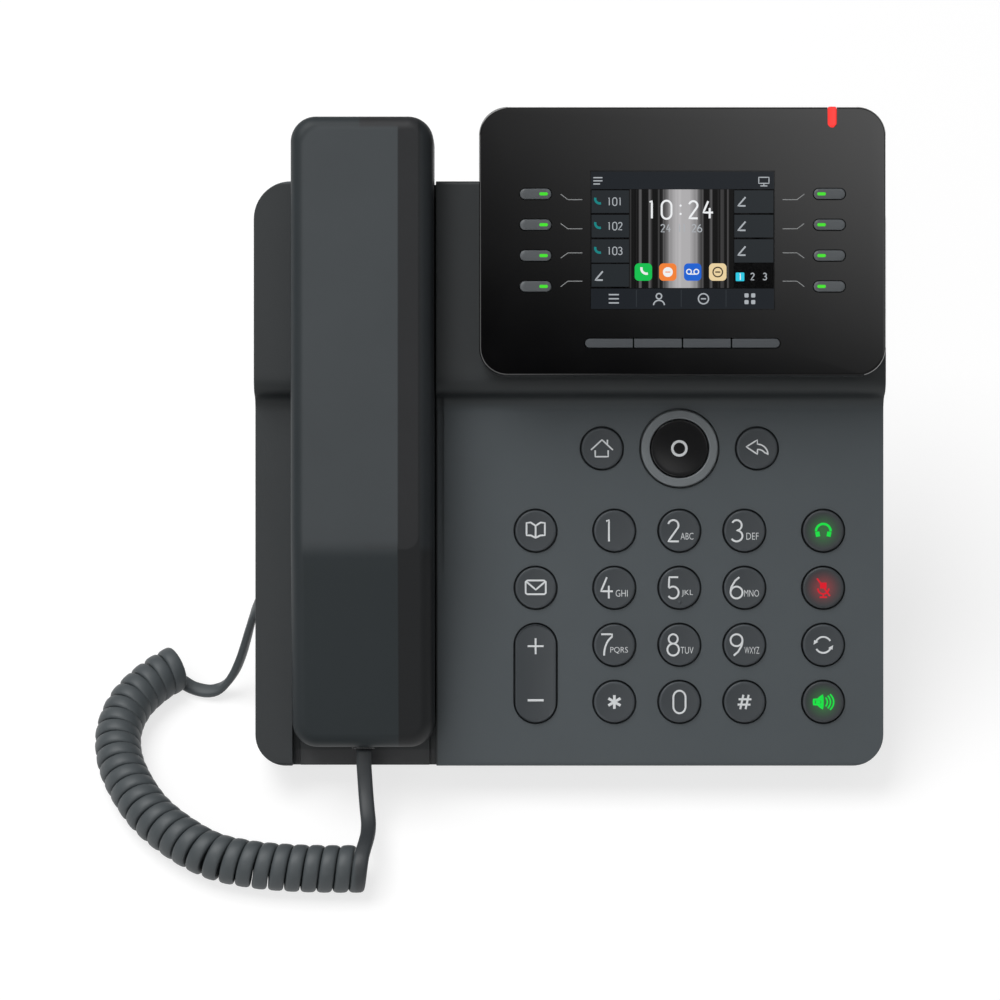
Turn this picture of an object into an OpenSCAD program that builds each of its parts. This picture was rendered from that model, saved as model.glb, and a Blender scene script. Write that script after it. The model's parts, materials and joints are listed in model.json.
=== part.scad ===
// Desk IP phone: an inclined body on a clip-in stand, a display head that tilts on two
// hinge lugs, 35 keys and a lift-off handset on a curly cord.
//
// Nearly everything is drawn in the face frame: X to the right, Y up the face from its
// lower edge, Z out of the keypad face. on_face() then stands it on the desk.

/* [Body] */
// Length of the body up its face
body_h = 186.5; // [185.5:0.5:189]
// Angle between the face and the desk
tilt = 45; // [40:1:50]
// Corner radius at the lower end
low_corner_r = 10; // [6:0.5:11]
// Corner radius at the upper end
top_corner_r = 12; // [6:0.5:13]
// Wall of the two covers
wall = 2.4; // [2.2:0.1:2.6]
// Rounding of the cover's front edges
edge_r = 1.2; // [0.6:0.1:1.6]
// Depth below the face at which the two covers meet
split_d = 11; // [10.9:0.1:11.6]
// Gap between the cradle's underside and the main board
board_gap = 1.6; // [1.5:0.1:2.5]
// Height of the platform behind the display above the keypad face
step_h = 8; // [7:0.5:8.5]
// Foot of the step above the middle of the navigation ring
step_clear = 11.9; // [11.5:0.1:13]
// Length of the step up the face
step_run = 10; // [9:0.5:10]

/* [Handset] */
// Width of the body left of the cradle
rail_w = 11.9; // [11:0.1:12.5]
// Width of the handset
handset_w = 45; // [44:0.5:46]
// Lower end of the handset
handset_low = 6.6; // [6:0.2:8]
// How far its upper end stands over the body's upper edge
handset_over = 19.3; // [17:0.1:21]
// Height of its flat back above the keypad face
handset_h = 24; // [22:0.5:26]
// Height of its lower end above the keypad face
handset_tip_h = 13; // [12:0.5:15]
// Where the flat back turns down to the lower end
handset_bend = 70; // [64:1:80]
// Rounding round the back
handset_edge = 4.5; // [3.5:0.25:5]
// Extra corner radius in the front view
handset_corner = 3.5; // [2:0.25:5]
// Wall of the handset's shells
handset_wall = 2.2; // [1.8:0.1:2.6]
// Height at which its two shells meet
handset_split = 5; // [4.8:0.1:5.4]
// Height of its underside between the pads
grip_h = 1.5; // [1:0.25:2]
// Gap each side of the handset in its cradle
cradle_gap = 0.5; // [0.3:0.1:0.9]
// Depth of the cradle below the keypad face
cradle_d = 5; // [4.5:0.25:5.5]
// Middle of the earpiece pad from the upper end
ear_end = 38.8; // [38:0.1:40]
// Middle of the mouthpiece pad from the lower end
mouth_end = 22.4; // [21.5:0.1:25]
// Length of the pads
pad_len = 34; // [30:1:34]

/* [Keys] */
// Diameter of a round key
key_d = 13.1; // [12.5:0.1:13.4]
// Gap round a key in its hole
key_gap = 0.5; // [0.4:0.05:0.6]
// Height of a key above the face
key_rise = 1; // [0.9:0.1:1.4]
// Travel of a key
key_travel = 0.8; // [0.5:0.1:0.8]
// Rows up the face
row_pitch = 18.25; // [17.8:0.05:18.4]
// Digit columns
digit_pitch = 20.8; // [20:0.1:21.2]
// Lowest row
first_row_v = 20.5; // [20:0.25:21.5]
// Side columns from the centre line
side_col = 46; // [45:0.5:47]
// Middle of the navigation ring above the top row
nav_rise = 26.35; // [25.5:0.05:26.75]
// Home and back keys from the centre line
nav_side = 24.8; // [24:0.2:26]
// Outer diameter of the navigation ring
nav_d = 24.6; // [24:0.1:25]
// Inner diameter of the navigation ring
nav_bore = 19; // [18.6:0.1:19.2]
// Gap between the ring and the select key inside it
ok_gap = 0.5; // [0.4:0.05:0.8]

/* [Display head] */
// Gap between the cradle and the display head
head_side = 13.8; // [13.4:0.1:15]
// Width of the body right of the display head
head_inset = 1.3; // [1:0.1:3]
// Width of the display head
head_w = 128; // [127:0.5:129]
// Height of the display head
head_h = 84.7; // [84.2:0.1:86]
// Lower edge of the display head above the step
head_clear = 0.6; // [0.5:0.1:1]
// Corner radius of the display head
head_r = 9; // [6:0.5:10]
// Thickness of the display head
head_t = 12; // [11.8:0.1:12.8]
// Gap between the head's back and the platform
head_gap = 0.5; // [0.4:0.05:0.8]
// Radius of the round rear edge that turns on the hinge
hinge_r = 4.4; // [4.2:0.1:4.5]
// Hinges each side of the head's middle
hinge_x = 46; // [45:0.5:47]
// Diameter of the hinge pins
pin_d = 3; // [2.5:0.1:3.2]
// Width of the picture
screen_w = 57.6; // [56:0.2:58]
// Height of the picture
screen_h = 43.2; // [42:0.2:43.6]
// Middle of the picture above the head's lower edge
screen_rise = 42.7; // [42:0.1:43.2]
// Line keys from the head's middle
line_key_x = 46.2; // [45:0.2:47]
// Line keys up the face
line_key_pitch = 9.7; // [9.4:0.1:10]
// Length of a line key
line_key_w = 9.9; // [9:0.1:10.4]
// Height of a line key
line_key_h = 3.3; // [3:0.1:3.6]
// Length of a soft key
soft_key_w = 14.95; // [14:0.05:15.2]
// Height of a soft key
soft_key_h = 2.8; // [2.6:0.1:3.2]
// Middle of the soft keys above the head's lower edge
soft_key_rise = 10.3; // [10:0.1:10.6]
// Travel of a key on the head
head_key_travel = 0.5; // [0.3:0.1:0.5]
// Height of a key above the head's face
head_key_rise = 0.5; // [0.4:0.1:0.8]
// Message light from the head's middle
light_x = 47.1; // [46:0.1:48]
// Width of the message light
light_w = 2.6; // [2.2:0.1:3]

/* [Stand and sockets] */
// Width of the stand
stand_w = 112; // [100:2:120]
// Wall of the stand
stand_t = 3; // [2.6:0.2:3.4]
// Upper end of the stand on the back
stand_top_v = 151; // [148:1:154]
// Lower end of the stand on the back
stand_low_v = 106; // [104:1:110]
// Front of its foot behind the lower edge of the face
foot_front_y = 112; // [108:1:114]
// Rear of its foot behind the lower edge of the face
foot_rear_y = 136; // [130:1:138]
// Thickness of the rubber feet
pad_t = 1.5; // [1:0.25:2]
// Height of the flat cut off the lower rear corner
corner_cut = 5; // [4.5:0.25:5]
// Plane of the network and power sockets up the back
socket_v = 62; // [60:1:64]
// Plane of the handset and headset sockets from the middle
side_socket_x = -86; // [-87:0.5:-85]

/* [Cord] */
// Outer diameter of the curly cord
coil_d = 15; // [13:0.5:16]
// Width of the flat cord
cord_w = 5; // [4.5:0.1:5.4]

/* [Hidden] */
$fn = 48;
eps = 0.01;

body_grey = [0.30, 0.32, 0.33];
key_grey = [0.26, 0.28, 0.29];
head_black = [0.09, 0.09, 0.09];
board_green = [0.05, 0.25, 0.13];
rubber_black = [0.07, 0.07, 0.07];

// Chain of places up and across the face; the body is as wide as what stands on it
nav_v = first_row_v + 3 * row_pitch + nav_rise;
step_v = nav_v + step_clear;
head_v = step_v + step_run + head_clear;
screen_v = head_v + screen_rise;
soft_key_v = head_v + soft_key_rise;
handset_top = body_h + handset_over;
ear_v = handset_top - ear_end;
mouth_v = handset_low + mouth_end;
cradle_w = handset_w + 2 * cradle_gap;
body_w = rail_w + cradle_w + head_side + head_w + head_inset;
handset_x = -body_w / 2 + rail_w + cradle_w / 2;
panel_x = body_w / 2 - head_inset - head_w / 2;
ok_d = nav_bore - 2 * ok_gap;

// Depth of the body: cradle, board and the sockets under it
board_t = 1.6;
jack_h = 11.6;
jack_seat = 0.4;
body_d = cradle_d + board_gap + board_t + jack_h + jack_seat + 2 * wall;

// Where the phone stands on the desk
desk_z = pad_t - corner_cut + body_d * cos(tilt);
back_chamfer = 4;
handset_nose_h = handset_tip_h
    + handset_corner * (handset_h - handset_tip_h) / (handset_bend - handset_low);
rear_y = (body_h - back_chamfer) * cos(tilt) + body_d * sin(tilt);
front_y = (handset_low + handset_edge) * cos(tilt)
    - (handset_nose_h - handset_edge) * sin(tilt) - handset_edge;
centre_y = (rear_y + front_y) / 2;

// Step of the top cover: two equal arcs, one hollow and one round
step_r = (step_run * step_run + step_h * step_h) / (4 * step_h);
step_a = 2 * atan(step_h / step_run);

// Layers below the keypad face
cover_floor = -body_d + wall;
flange_gap = 0.3;
flange_t = 1.2;
flange_lip = 1.2;
flange_top = -wall - flange_gap;
board_top = -cradle_d - wall - board_gap;
board_back = board_top - board_t;
mat_t = 1;
mat_top = board_top + mat_t;
cup_top = flange_top - flange_t - key_travel - flange_gap;
stem_r = 3;
cup_gap = 0.3;
cup_wall = 1.2;
stem_end = mat_top + key_travel + cup_gap;

// Cradle
cradle_floor = -cradle_d;
seat_gap = 0.3;
pad_low = cradle_floor + seat_gap;
tab_v = ear_v - pad_len / 2 - seat_gap;
tab_t = 3;
tab_w = 14;
tab_h = 3;
gutter_w = 2.2;
gutter_d = 1.2;
speaker_v = 98;
speaker_r = 20;
speaker_rim = 2.5;
speaker_depth = 12.5;
magnet_r = 11.5;
magnet_t = 5;

// Hook plunger
hook_v = ear_v + 6;
hook_w = 12;
hook_l = 8;
hook_travel = 3;
hook_fit = 0.3;
hook_stem_r = 2;
hook_flange_top = cradle_floor - wall - hook_travel - hook_fit;
hook_flange_t = 1.5;
hook_end = hook_flange_top - hook_flange_t - 6;

// Cover screws
screw_r = 1.45;
screw_fit = 0.1;
screw_head_r = 3;
screw_head_t = 2.2;
boss_r = 3.5;
screw_reach = 6;
screw_seat_t = 0.4;
screw_x = [handset_x + cradle_w / 2 + wall + boss_r + 3.7, body_w / 2 - 7.5];
screw_v = [12, body_h - 10.5];
post_r = screw_head_r + 1.5;
post_gap = 0.3;

// [x, v] of each screw, and how far up its boss reaches into the wall it stands on
screws = concat(
    [for (v = screw_v, x = screw_x) [x, v]],
    [[handset_x, mouth_v - 12], [handset_x, ear_v - 17]]);
boss_sink = 0.5;
function boss_top(s) = boss_sink + (s[0] == handset_x ? cradle_floor - wall
    : s[1] > step_v + step_run ? step_h - wall : -wall);

// Display head
head_low = step_h + head_gap;
head_top = head_low + head_t;
head_mid_v = head_v + head_h / 2;
head_wall = 2;
head_plate = 2.4;
head_split = head_low + 5.5;
plate_low = head_top - head_plate;
hinge_v = head_v + hinge_r;
hinge_z = head_low + hinge_r;
lug_w = 10;
lug_r = hinge_r - 0.4;
lug_gap = 0.3;
knuckle_w = 6;
head_board_top = plate_low - 2.9;
head_flange_top = plate_low - 0.3;
head_flange_t = 0.7;
head_press_gap = head_key_travel + 0.3;
soft_switch_top = head_flange_top - head_flange_t - head_press_gap;
soft_switch = [4, 2.6];
head_key_gap = 0.3;
line_key_n = 4;
soft_gap = 0.45;
light_len = 6.4;
pin_fit = 0.05;

// Sockets
socket_t = 2;
bay_x = 22;
bay_w = 84;
bay_low_v = 28;
bay_floor = board_back - 2;
pocket_low_v = 34;
pocket_top_v = 68;
side_socket_v = 57;
side_socket_pitch = 14;
jack_w = 16;
jack_len = 18;
power_w = 9;
jack_fit = 0.25;
jack_z = board_back - jack_h / 2;

// Modular plug of the handset cord
plug_w = 7.6;
plug_h = 6.5;
plug_len = 12;
plug_slack = 0.15;
plug_z = 4;
plug_tail = 0.7;

// Where the cord runs, in the desk's frame with Y from the lower edge of the face:
// round numbers in millimetres
handset_lead_route = [[-65.6, 1, 21], [-65.6, -2, 18], [-65.3, -5.5, 14.8], [-64.9, -10, 12],
    [-64.4, -15, 10.4], [-63.9, -20, 10], [-63.4, -25, 10.9], [-63.2, -29.5, 12.5], [-63.2, -33.5, 13.6],
    [-63.2, -36.5, 13.8]];
coil_route = [[-65.5, -37, 7.6], [-77, -37, 7.6], [-89, -36.5, 7.6], [-101, -35, 7.6],
    [-113, -31.5, 7.6], [-124, -24, 7.6], [-133.5, -14.5, 7.6], [-140.5, -3, 7.6], [-145, 9, 7.6],
    [-146, 21, 7.6], [-143, 32.5, 7.6], [-136.5, 42, 7.6], [-128.5, 49, 7.6]];
base_lead_route = [[-126.8, 50.6, 2.1], [-122.5, 46, 2.1], [-118, 43.5, 2.4], [-113.5, 43.5, 4.2],
    [-110, 45, 8.5], [-107.5, 46.8, 14], [-105.5, 48.3, 20.5], [-103.8, 49.4, 27], [-102, 50.3, 33],
    [-99.5, 51.2, 38], [-96, 51.9, 41.8], [-90.6, 52.1, 42.7]];

// Rings along a route, a tube of so many sides through them
function unit(a) = a / norm(a);
function route_dir(p, i) = unit(p[min(i + 1, len(p) - 1)] - p[max(i - 1, 0)]);
function side_of(d) = unit(abs(d[2]) > 0.98 ? cross(d, [0, 1, 0]) : cross(d, [0, 0, 1]));
function ring_points(p, r, n) = [for (i = [0:len(p) - 1])
    let (d = route_dir(p, i), s = side_of(d), u = cross(s, d))
    for (k = [0:n - 1]) p[i] + r * (cos(360 * k / n) * s + sin(360 * k / n) * u)];
function ring_faces(m, n) = concat(
    [[for (k = [0:n - 1]) k]],
    [for (i = [0:m - 2]) for (k = [0:n - 1])
        [i * n + k, (i + 1) * n + k, (i + 1) * n + (k + 1) % n, i * n + (k + 1) % n]],
    [[for (k = [n - 1:-1:0]) (m - 1) * n + k]]);

module tube(route, d, sides) {
    translate([0, -centre_y, 0])
        polyhedron(ring_points(route, d / 2, sides), ring_faces(len(route), sides));
}

// Face frame to the desk's frame
module on_face() {
    translate([0, -centre_y, desk_z]) rotate([tilt, 0, 0]) children();
}

// A point of the desk's frame, [y, z], as [v, w] of the face frame
function to_face(y, z) = [y * cos(tilt) + (z - desk_z) * sin(tilt),
                          (z - desk_z) * cos(tilt) - y * sin(tilt)];

function arc(c, r, a0, a1, n) = [for (i = [0:n])
    let (a = a0 + (a1 - a0) * i / n) [c[0] + r * cos(a), c[1] + r * sin(a)]];

// Side outline [v, w] swept across the width
module across(width, outline) {
    rotate([90, 0, 90]) linear_extrude(width, center = true) polygon(outline);
}

module slab(low, high) {
    translate([0, 0, low]) linear_extrude(high - low) children();
}

module block(x0, x1, v0, v1, w0, w1) {
    translate([x0, v0, w0]) cube([x1 - x0, v1 - v0, w1 - w0]);
}

module rounded(w, h, r) {
    square([w - 2 * r, h], center = true);
    square([w, h - 2 * r], center = true);
    for (x = [-1, 1], y = [-1, 1]) translate([x * (w / 2 - r), y * (h / 2 - r)]) circle(r);
}

// Pill with its long side across or up the face
module pill(w, h) {
    r = min(w, h) / 2;
    square([w > h ? w - 2 * r : w, w > h ? h : h - 2 * r], center = true);
    for (s = [-1, 1]) translate(w > h ? [s * (w / 2 - r), 0] : [0, s * (h / 2 - r)]) circle(r);
}

module body_outline(inset = 0) {
    w = body_w / 2 - inset;
    low = low_corner_r - inset;
    top = top_corner_r - inset;
    translate([-w, inset + low]) square([2 * w, body_h - 2 * inset - low - top]);
    translate([-w + low, inset]) square([2 * (w - low), body_h / 2]);
    translate([-w + top, body_h / 2]) square([2 * (w - top), body_h / 2 - inset]);
    for (s = [-1, 1]) {
        translate([s * (w - low), inset + low]) circle(low);
        translate([s * (w - top), body_h - inset - top]) circle(top);
    }
}

// The space up to the front surface of the top cover, or its inside
module cover_form(inset, depth) {
    edge = max(edge_r - inset, eps);
    intersection() {
        slab(-depth, step_h + 1) body_outline(inset);
        across(body_w, concat(
            [[inset, -depth]],
            arc([inset + edge, -inset - edge], edge, 180, 90, 4),
            arc([step_v, step_r], step_r + inset, -90, step_a - 90, 8),
            arc([step_v + step_run, step_h - step_r], step_r - inset, 90 + step_a, 90, 8),
            arc([body_h - inset - edge, step_h - inset - edge], edge, 90, 0, 4),
            [[body_h - inset, -depth]]));
    }
}

// ---- Keys on the body: [name, x, v] ----
function digit_at(col, row) = [panel_x + (col - 1) * digit_pitch, first_row_v + row * row_pitch];
function side_at(side, row) = [panel_x + side * side_col, first_row_v + row * row_pitch];
round_keys = [
    ["key_1", digit_at(0, 3)], ["key_2", digit_at(1, 3)], ["key_3", digit_at(2, 3)],
    ["key_4", digit_at(0, 2)], ["key_5", digit_at(1, 2)], ["key_6", digit_at(2, 2)],
    ["key_7", digit_at(0, 1)], ["key_8", digit_at(1, 1)], ["key_9", digit_at(2, 1)],
    ["key_star", digit_at(0, 0)], ["key_0", digit_at(1, 0)], ["key_hash", digit_at(2, 0)],
    ["headset_key", side_at(1, 3)], ["mute_key", side_at(1, 2)],
    ["redial_key", side_at(1, 1)], ["speaker_key", side_at(1, 0)],
    ["phonebook_key", side_at(-1, 3)], ["message_key", side_at(-1, 2)],
    ["home_key", [panel_x - nav_side, nav_v]], ["back_key", [panel_x + nav_side, nav_v]]];
volume_at = [panel_x - side_col, first_row_v + row_pitch / 2];
volume_len = key_d + row_pitch;
volume_stem = row_pitch / 2;
nav_at = [panel_x, nav_v];

module at(p, w = 0) { translate([p[0], p[1], w]) children(); }

// Round key: dished cap with a chamfered rim, flange under the cover, stem in the mat
module round_key(d) {
    dish_r = d * 4.6;
    chamfer = 0.35;
    difference() {
        rotate_extrude() polygon([
            [0, stem_end], [stem_r, stem_end], [stem_r, flange_top - flange_t],
            [d / 2 + flange_lip, flange_top - flange_t], [d / 2 + flange_lip, flange_top],
            [d / 2, flange_top], [d / 2, key_rise - chamfer], [d / 2 - chamfer, key_rise],
            [0, key_rise]]);
        translate([0, 0, key_rise + dish_r - d * 0.024]) sphere(dish_r, $fn = 96);
    }
}

module key_nib() {
    translate([0, -4.6, key_rise - 0.35]) cylinder(r1 = 0.6, r2 = 0.4, h = 0.5, $fn = 24);
}

module body_key(name, p) {
    color(key_grey) on_face() at(p) {
        round_key(key_d);
        if (name == "key_5") key_nib();
    }
}

module ok_key() {
    color(head_black) on_face() at(nav_at) difference() {
        rotate_extrude() polygon([
            [0, stem_end], [stem_r, stem_end], [stem_r, flange_top - flange_t],
            [ok_d / 2, flange_top - flange_t], [ok_d / 2, key_rise - 0.9],
            [ok_d / 2 - 0.4, key_rise - 0.5], [0, key_rise - 0.5]]);
        translate([0, 0, key_rise + 79.1]) sphere(80, $fn = 96);
    }
}

nav_flange_top = flange_top - 0.5;
nav_flange_t = 1.3;
nav_low = nav_flange_top - nav_flange_t;
nub_r = 1;
nub_ring = (nav_bore + nav_d) / 4;
carrier_top = nav_low - 0.6;
carrier_t = 1.2;

module nav_ring() {
    rise = key_rise + 0.4;
    color([0.42, 0.44, 0.45]) on_face() at(nav_at) rotate_extrude() polygon([
        [nav_bore / 2, nav_low], [nav_d / 2 + flange_lip, nav_low],
        [nav_d / 2 + flange_lip, nav_flange_top], [nav_d / 2, nav_flange_top],
        [nav_d / 2, rise - 0.9], [nav_d / 2 - 0.5, rise - 0.25], [nav_d / 2 - 1.1, rise],
        [nav_bore / 2 + 0.5, rise - 0.5], [nav_bore / 2, rise - 0.9]]);
}

// Gimbal ring under the navigation ring: nubs across it carry the ring
module nav_carrier() {
    color([0.75, 0.75, 0.72]) on_face() at(nav_at) {
        difference() {
            translate([0, 0, carrier_top - carrier_t])
                cylinder(r = nav_d / 2 + 0.8, h = carrier_t);
            translate([0, 0, carrier_top - carrier_t - 1])
                cylinder(r = nav_bore / 2 + 0.3, h = carrier_t + 2);
        }
        for (s = [-1, 1]) translate([s * nub_ring, 0, carrier_top - eps])
            cylinder(r = nub_r, h = nav_low - carrier_top - 0.15);
    }
}

module volume_rocker() {
    flange = volume_flange_top();
    color(key_grey) on_face() at(volume_at) difference() {
        union() {
            slab(flange - flange_t, flange) pill(key_d + 2 * flange_lip, volume_len + 2 * flange_lip);
            slab(flange - eps, key_rise - 0.3) pill(key_d, volume_len);
            slab(key_rise - 0.3 - eps, key_rise) pill(key_d - 0.5, volume_len - 0.5);
            for (s = [-1, 1]) translate([0, s * volume_stem, stem_end])
                cylinder(r = stem_r, h = flange - flange_t - stem_end + eps);
        }
        translate([0, 0, key_rise + 43.5]) rotate([90, 0, 0])
            cylinder(r = 44, h = 2 * volume_len, center = true, $fn = 128);
    }
}

function volume_flange_top() = flange_top - 0.6;

// ---- Body ----
module key_holes() {
    for (k = round_keys) at(k[1], -wall - 1) cylinder(d = key_d + 2 * key_gap, h = wall + 2);
    at(nav_at, -wall - 1) cylinder(d = nav_d + 2 * key_gap, h = wall + 2, $fn = 96);
    at(volume_at) slab(-wall - 1, 1) pill(key_d + 2 * key_gap, volume_len + 2 * key_gap);
}

// Lug that carries the display head, round about the hinge axis
module hinge_lug(x) {
    difference() {
        translate([x, 0, 0]) across(lug_w, concat(
            [[hinge_v - lug_r, step_h - wall]],
            arc([hinge_v, hinge_z], lug_r, 180, 0, 12),
            [[hinge_v + lug_r, step_h - wall]]));
        translate([x, hinge_v, hinge_z]) rotate([0, 90, 0])
            cylinder(r = pin_d / 2 + pin_fit / 2, h = lug_w + 2, center = true);
    }
}

module speaker_slots() {
    slot_pitch = 4.2;
    for (i = [-3:3]) translate([handset_x + i * slot_pitch, speaker_v, 0])
        slab(cradle_floor - wall - 1, cradle_floor + 1) pill(2, 30 - abs(i) * 3);
}

module top_cover() {
    trough = cradle_w / 2 + wall;
    color(body_grey) on_face() {
        difference() {
            union() {
                difference() {
                    cover_form(0, split_d);
                    cover_form(wall, split_d + 1);
                }
                intersection() {
                    cover_form(0, split_d);
                    block(handset_x - trough, handset_x + trough, 0, body_h,
                          cradle_floor - wall, step_h);
                }
                for (s = screws) at(s, -split_d) cylinder(r = boss_r, h = split_d + boss_top(s));
            }
            block(handset_x - cradle_w / 2, handset_x + cradle_w / 2, -1, body_h + 1,
                  cradle_floor, step_h + 2);
            for (s = [-1, 1]) translate([handset_x + s * (cradle_w - gutter_w) / 2, 0, 0])
                block(-gutter_w / 2, gutter_w / 2, -1, body_h + 1,
                      cradle_floor - gutter_d, cradle_floor + 1);
            for (s = screws) at(s, -split_d - 1) cylinder(r = screw_r + screw_fit, h = screw_reach);
            key_holes();
            speaker_slots();
            block(handset_x - hook_w / 2 - hook_fit, handset_x + hook_w / 2 + hook_fit,
                  hook_v - hook_l / 2 - hook_fit, hook_v + hook_l / 2 + hook_fit,
                  cradle_floor - wall - 1, cradle_floor + 1);
        }
        block(handset_x - tab_w / 2, handset_x + tab_w / 2, tab_v - tab_t, tab_v,
              cradle_floor - eps, cradle_floor + tab_h);
        for (s = [-1, 1]) hinge_lug(panel_x + s * hinge_x);
    }
}

// Side outline of the back cover, with the flat for the front feet
function back_outline(inset) =
    let (k = inset * tan(22.5),
         low = -body_d + inset, cut_w = corner_cut / cos(tilt), cut_v = corner_cut / sin(tilt))
    [[inset, -split_d + (inset > 0 ? 1 : 0)], [inset, -body_d + cut_w + k], [cut_v + k, low],
     [body_h - back_chamfer - k, low], [body_h - inset, -body_d + back_chamfer + k],
     [body_h - inset, -split_d + (inset > 0 ? 1 : 0)]];

module back_form(inset) {
    intersection() {
        slab(-body_d - 1, -split_d + (inset > 0 ? 1 : 0)) body_outline(inset);
        across(body_w, back_outline(inset));
    }
}

tab_slot_w = 14;
tab_slot_v = 3.4;
stand_tab_x = stand_w / 2 - 18;
stand_tabs = [stand_top_v - 6, stand_low_v + 6];
second_row = -9;

module vents() {
    for (i = [-6:6]) translate([panel_x - 20 + i * 6.5, body_h - 19, 0])
        slab(-body_d - 1, cover_floor + 1) pill(2.4, 16);
}

module back_cover() {
    bay = [bay_x - bay_w / 2, bay_x + bay_w / 2];
    color(body_grey) on_face() difference() {
        union() {
            difference() {
                back_form(0);
                back_form(wall);
            }
            intersection() {
                union() {
                    block(bay[0] - socket_t, bay[1] + socket_t, bay_low_v - socket_t, socket_v + socket_t,
                          -body_d, bay_floor + 1.6);
                    block(-body_w / 2, side_socket_x + socket_t, pocket_low_v - socket_t,
                          pocket_top_v + socket_t, -body_d, -split_d);
                }
                slab(-body_d, -split_d + 3) body_outline();
            }
            for (s = screws) at(s, cover_floor - eps)
                cylinder(r = post_r, h = -split_d - cover_floor + eps);
            for (p = board_posts) at(p, cover_floor - eps)
                cylinder(r = 3, h = board_back - cover_floor + eps);
            at([handset_x, hook_v], cover_floor - eps)
                cylinder(r = 4, h = hook_flange_top - hook_flange_t - 1 - cover_floor);
        }
        block(bay[0], bay[1], bay_low_v, socket_v, -body_d - 1, bay_floor);
        block(-body_w / 2 - 1, side_socket_x, pocket_low_v, pocket_top_v, -body_d - 1, -split_d - 1.6);
        for (x = network_jacks) jack_hole(x, jack_w);
        jack_hole(power_x, power_w);
        for (v = side_sockets)
            block(side_socket_x - 1, side_socket_x + socket_t + 1,
                  v - side_jack_w / 2 - jack_fit, v + side_jack_w / 2 + jack_fit,
                  jack_z - jack_h / 2 - jack_fit, -split_d + 1);
        for (s = screws) at(s, -body_d - 1) {
            cylinder(r = screw_r + screw_fit, h = body_d);
            cylinder(r = screw_head_r + 0.3, h = 1 + screw_head_t + screw_seat_t);
        }
        at([handset_x, hook_v], cover_floor + 1) cylinder(r = hook_stem_r + hook_fit, h = body_d);
        for (x = [-1, 1], v = stand_tabs, d = [0, second_row])
            block(x * stand_tab_x - tab_slot_w / 2, x * stand_tab_x + tab_slot_w / 2,
                  v + d - tab_slot_v / 2, v + d + tab_slot_v / 2, -body_d - 1, cover_floor + 1);
        vents();
    }
}

network_jacks = [bay_x + 4, bay_x + 24];
power_x = bay_x - 18;
post_low_v = socket_v + 8;
post_top_v = 112;
board_posts = [[power_x - 30, post_low_v], [body_w / 2 - 12.5, post_low_v],
               [power_x - 30, post_top_v], [body_w / 2 - 20.5, post_top_v]];
board_x = [handset_x + cradle_w / 2 + wall + 0.2, body_w / 2 - 8.5];
board_v = [15, 140];
wing_x = [side_socket_x + 2, board_x[0] + 1];
wing_v = [side_socket_v - 22, side_socket_v + 8];
side_sockets = [side_socket_v, side_socket_v - side_socket_pitch];

module jack_hole(x, w) {
    block(x - w / 2 - jack_fit, x + w / 2 + jack_fit, socket_v - 1, socket_v + socket_t + 1,
          jack_z - jack_h / 2 - jack_fit, bay_floor + 3);
}

module main_board() {
    color(board_green) on_face() difference() {
        union() {
            block(board_x[0], board_x[1], board_v[0], board_v[1], board_back, board_top);
            block(wing_x[0], wing_x[1], wing_v[0], wing_v[1], board_back, board_top);
            for (c = chips) translate([c[0], c[1], board_back - c[4] / 2 + eps])
                cube([c[2], c[3], c[4]], center = true);
        }
        for (s = screws) at(s, board_back - 1) cylinder(r = post_r + post_gap, h = board_t + 2);
    }
}

// Parts on the board's back: [x, v, width, length, height]
processor = [panel_x + 4.8, nav_v + 2.4, 17, 17, 1.4];
memory = [panel_x - 21.2, nav_v + 2.4, 12, 8, 1.2];
regulator = [panel_x + 30.8, nav_v - 11.6, 8, 8, 3];
transformer_v = socket_v + jack_len + 7;
chips = concat([processor, memory, regulator],
               [for (x = network_jacks) [x, transformer_v, jack_w - 2, 9, 4]]);

// Rubber mat: a sheet on the board with a cup round each stem
module keypad_mat() {
    cups = concat([for (k = round_keys) k[1]], [nav_at],
                  [for (s = [-1, 1]) [volume_at[0], volume_at[1] + s * volume_stem]]);
    mat_v = [first_row_v - 5, nav_v + nav_d / 2 + 2];
    mat_x = side_col + key_d / 2 + 2;
    color([0.55, 0.56, 0.57]) on_face() difference() {
        union() {
            translate([panel_x, (mat_v[0] + mat_v[1]) / 2]) slab(board_top, mat_top)
                rounded(2 * mat_x, mat_v[1] - mat_v[0], 4);
            for (p = cups) at(p, mat_top - eps)
                cylinder(r = stem_r + cup_gap + cup_wall, h = cup_top - mat_top + eps);
            for (s = [-1, 1]) at(nav_at + [0, s * nub_ring], mat_top - eps)
                cylinder(r = nub_r, h = carrier_top - carrier_t - mat_top - 0.15);
        }
        for (p = cups) at(p, mat_top) cylinder(r = stem_r + cup_gap, h = body_d);
    }
}

module loudspeaker() {
    top = cradle_floor - wall;
    inside_r = speaker_r - speaker_rim;
    cone_sink = 1.2;
    dome_sink = 2.5;
    rim_t = 1.5;
    basket_t = speaker_depth - magnet_t;
    color([0.2, 0.2, 0.21]) on_face() at([handset_x, speaker_v], top) rotate_extrude() polygon([
        [0, -dome_sink], [inside_r / 3, -dome_sink], [inside_r * 2 / 3, -cone_sink],
        [inside_r, -cone_sink], [inside_r, 0], [speaker_r, 0], [speaker_r, -rim_t],
        [inside_r - 0.5, -rim_t - 1.1], [magnet_r, -basket_t], [magnet_r, -speaker_depth],
        [0, -speaker_depth]]);
}

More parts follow.
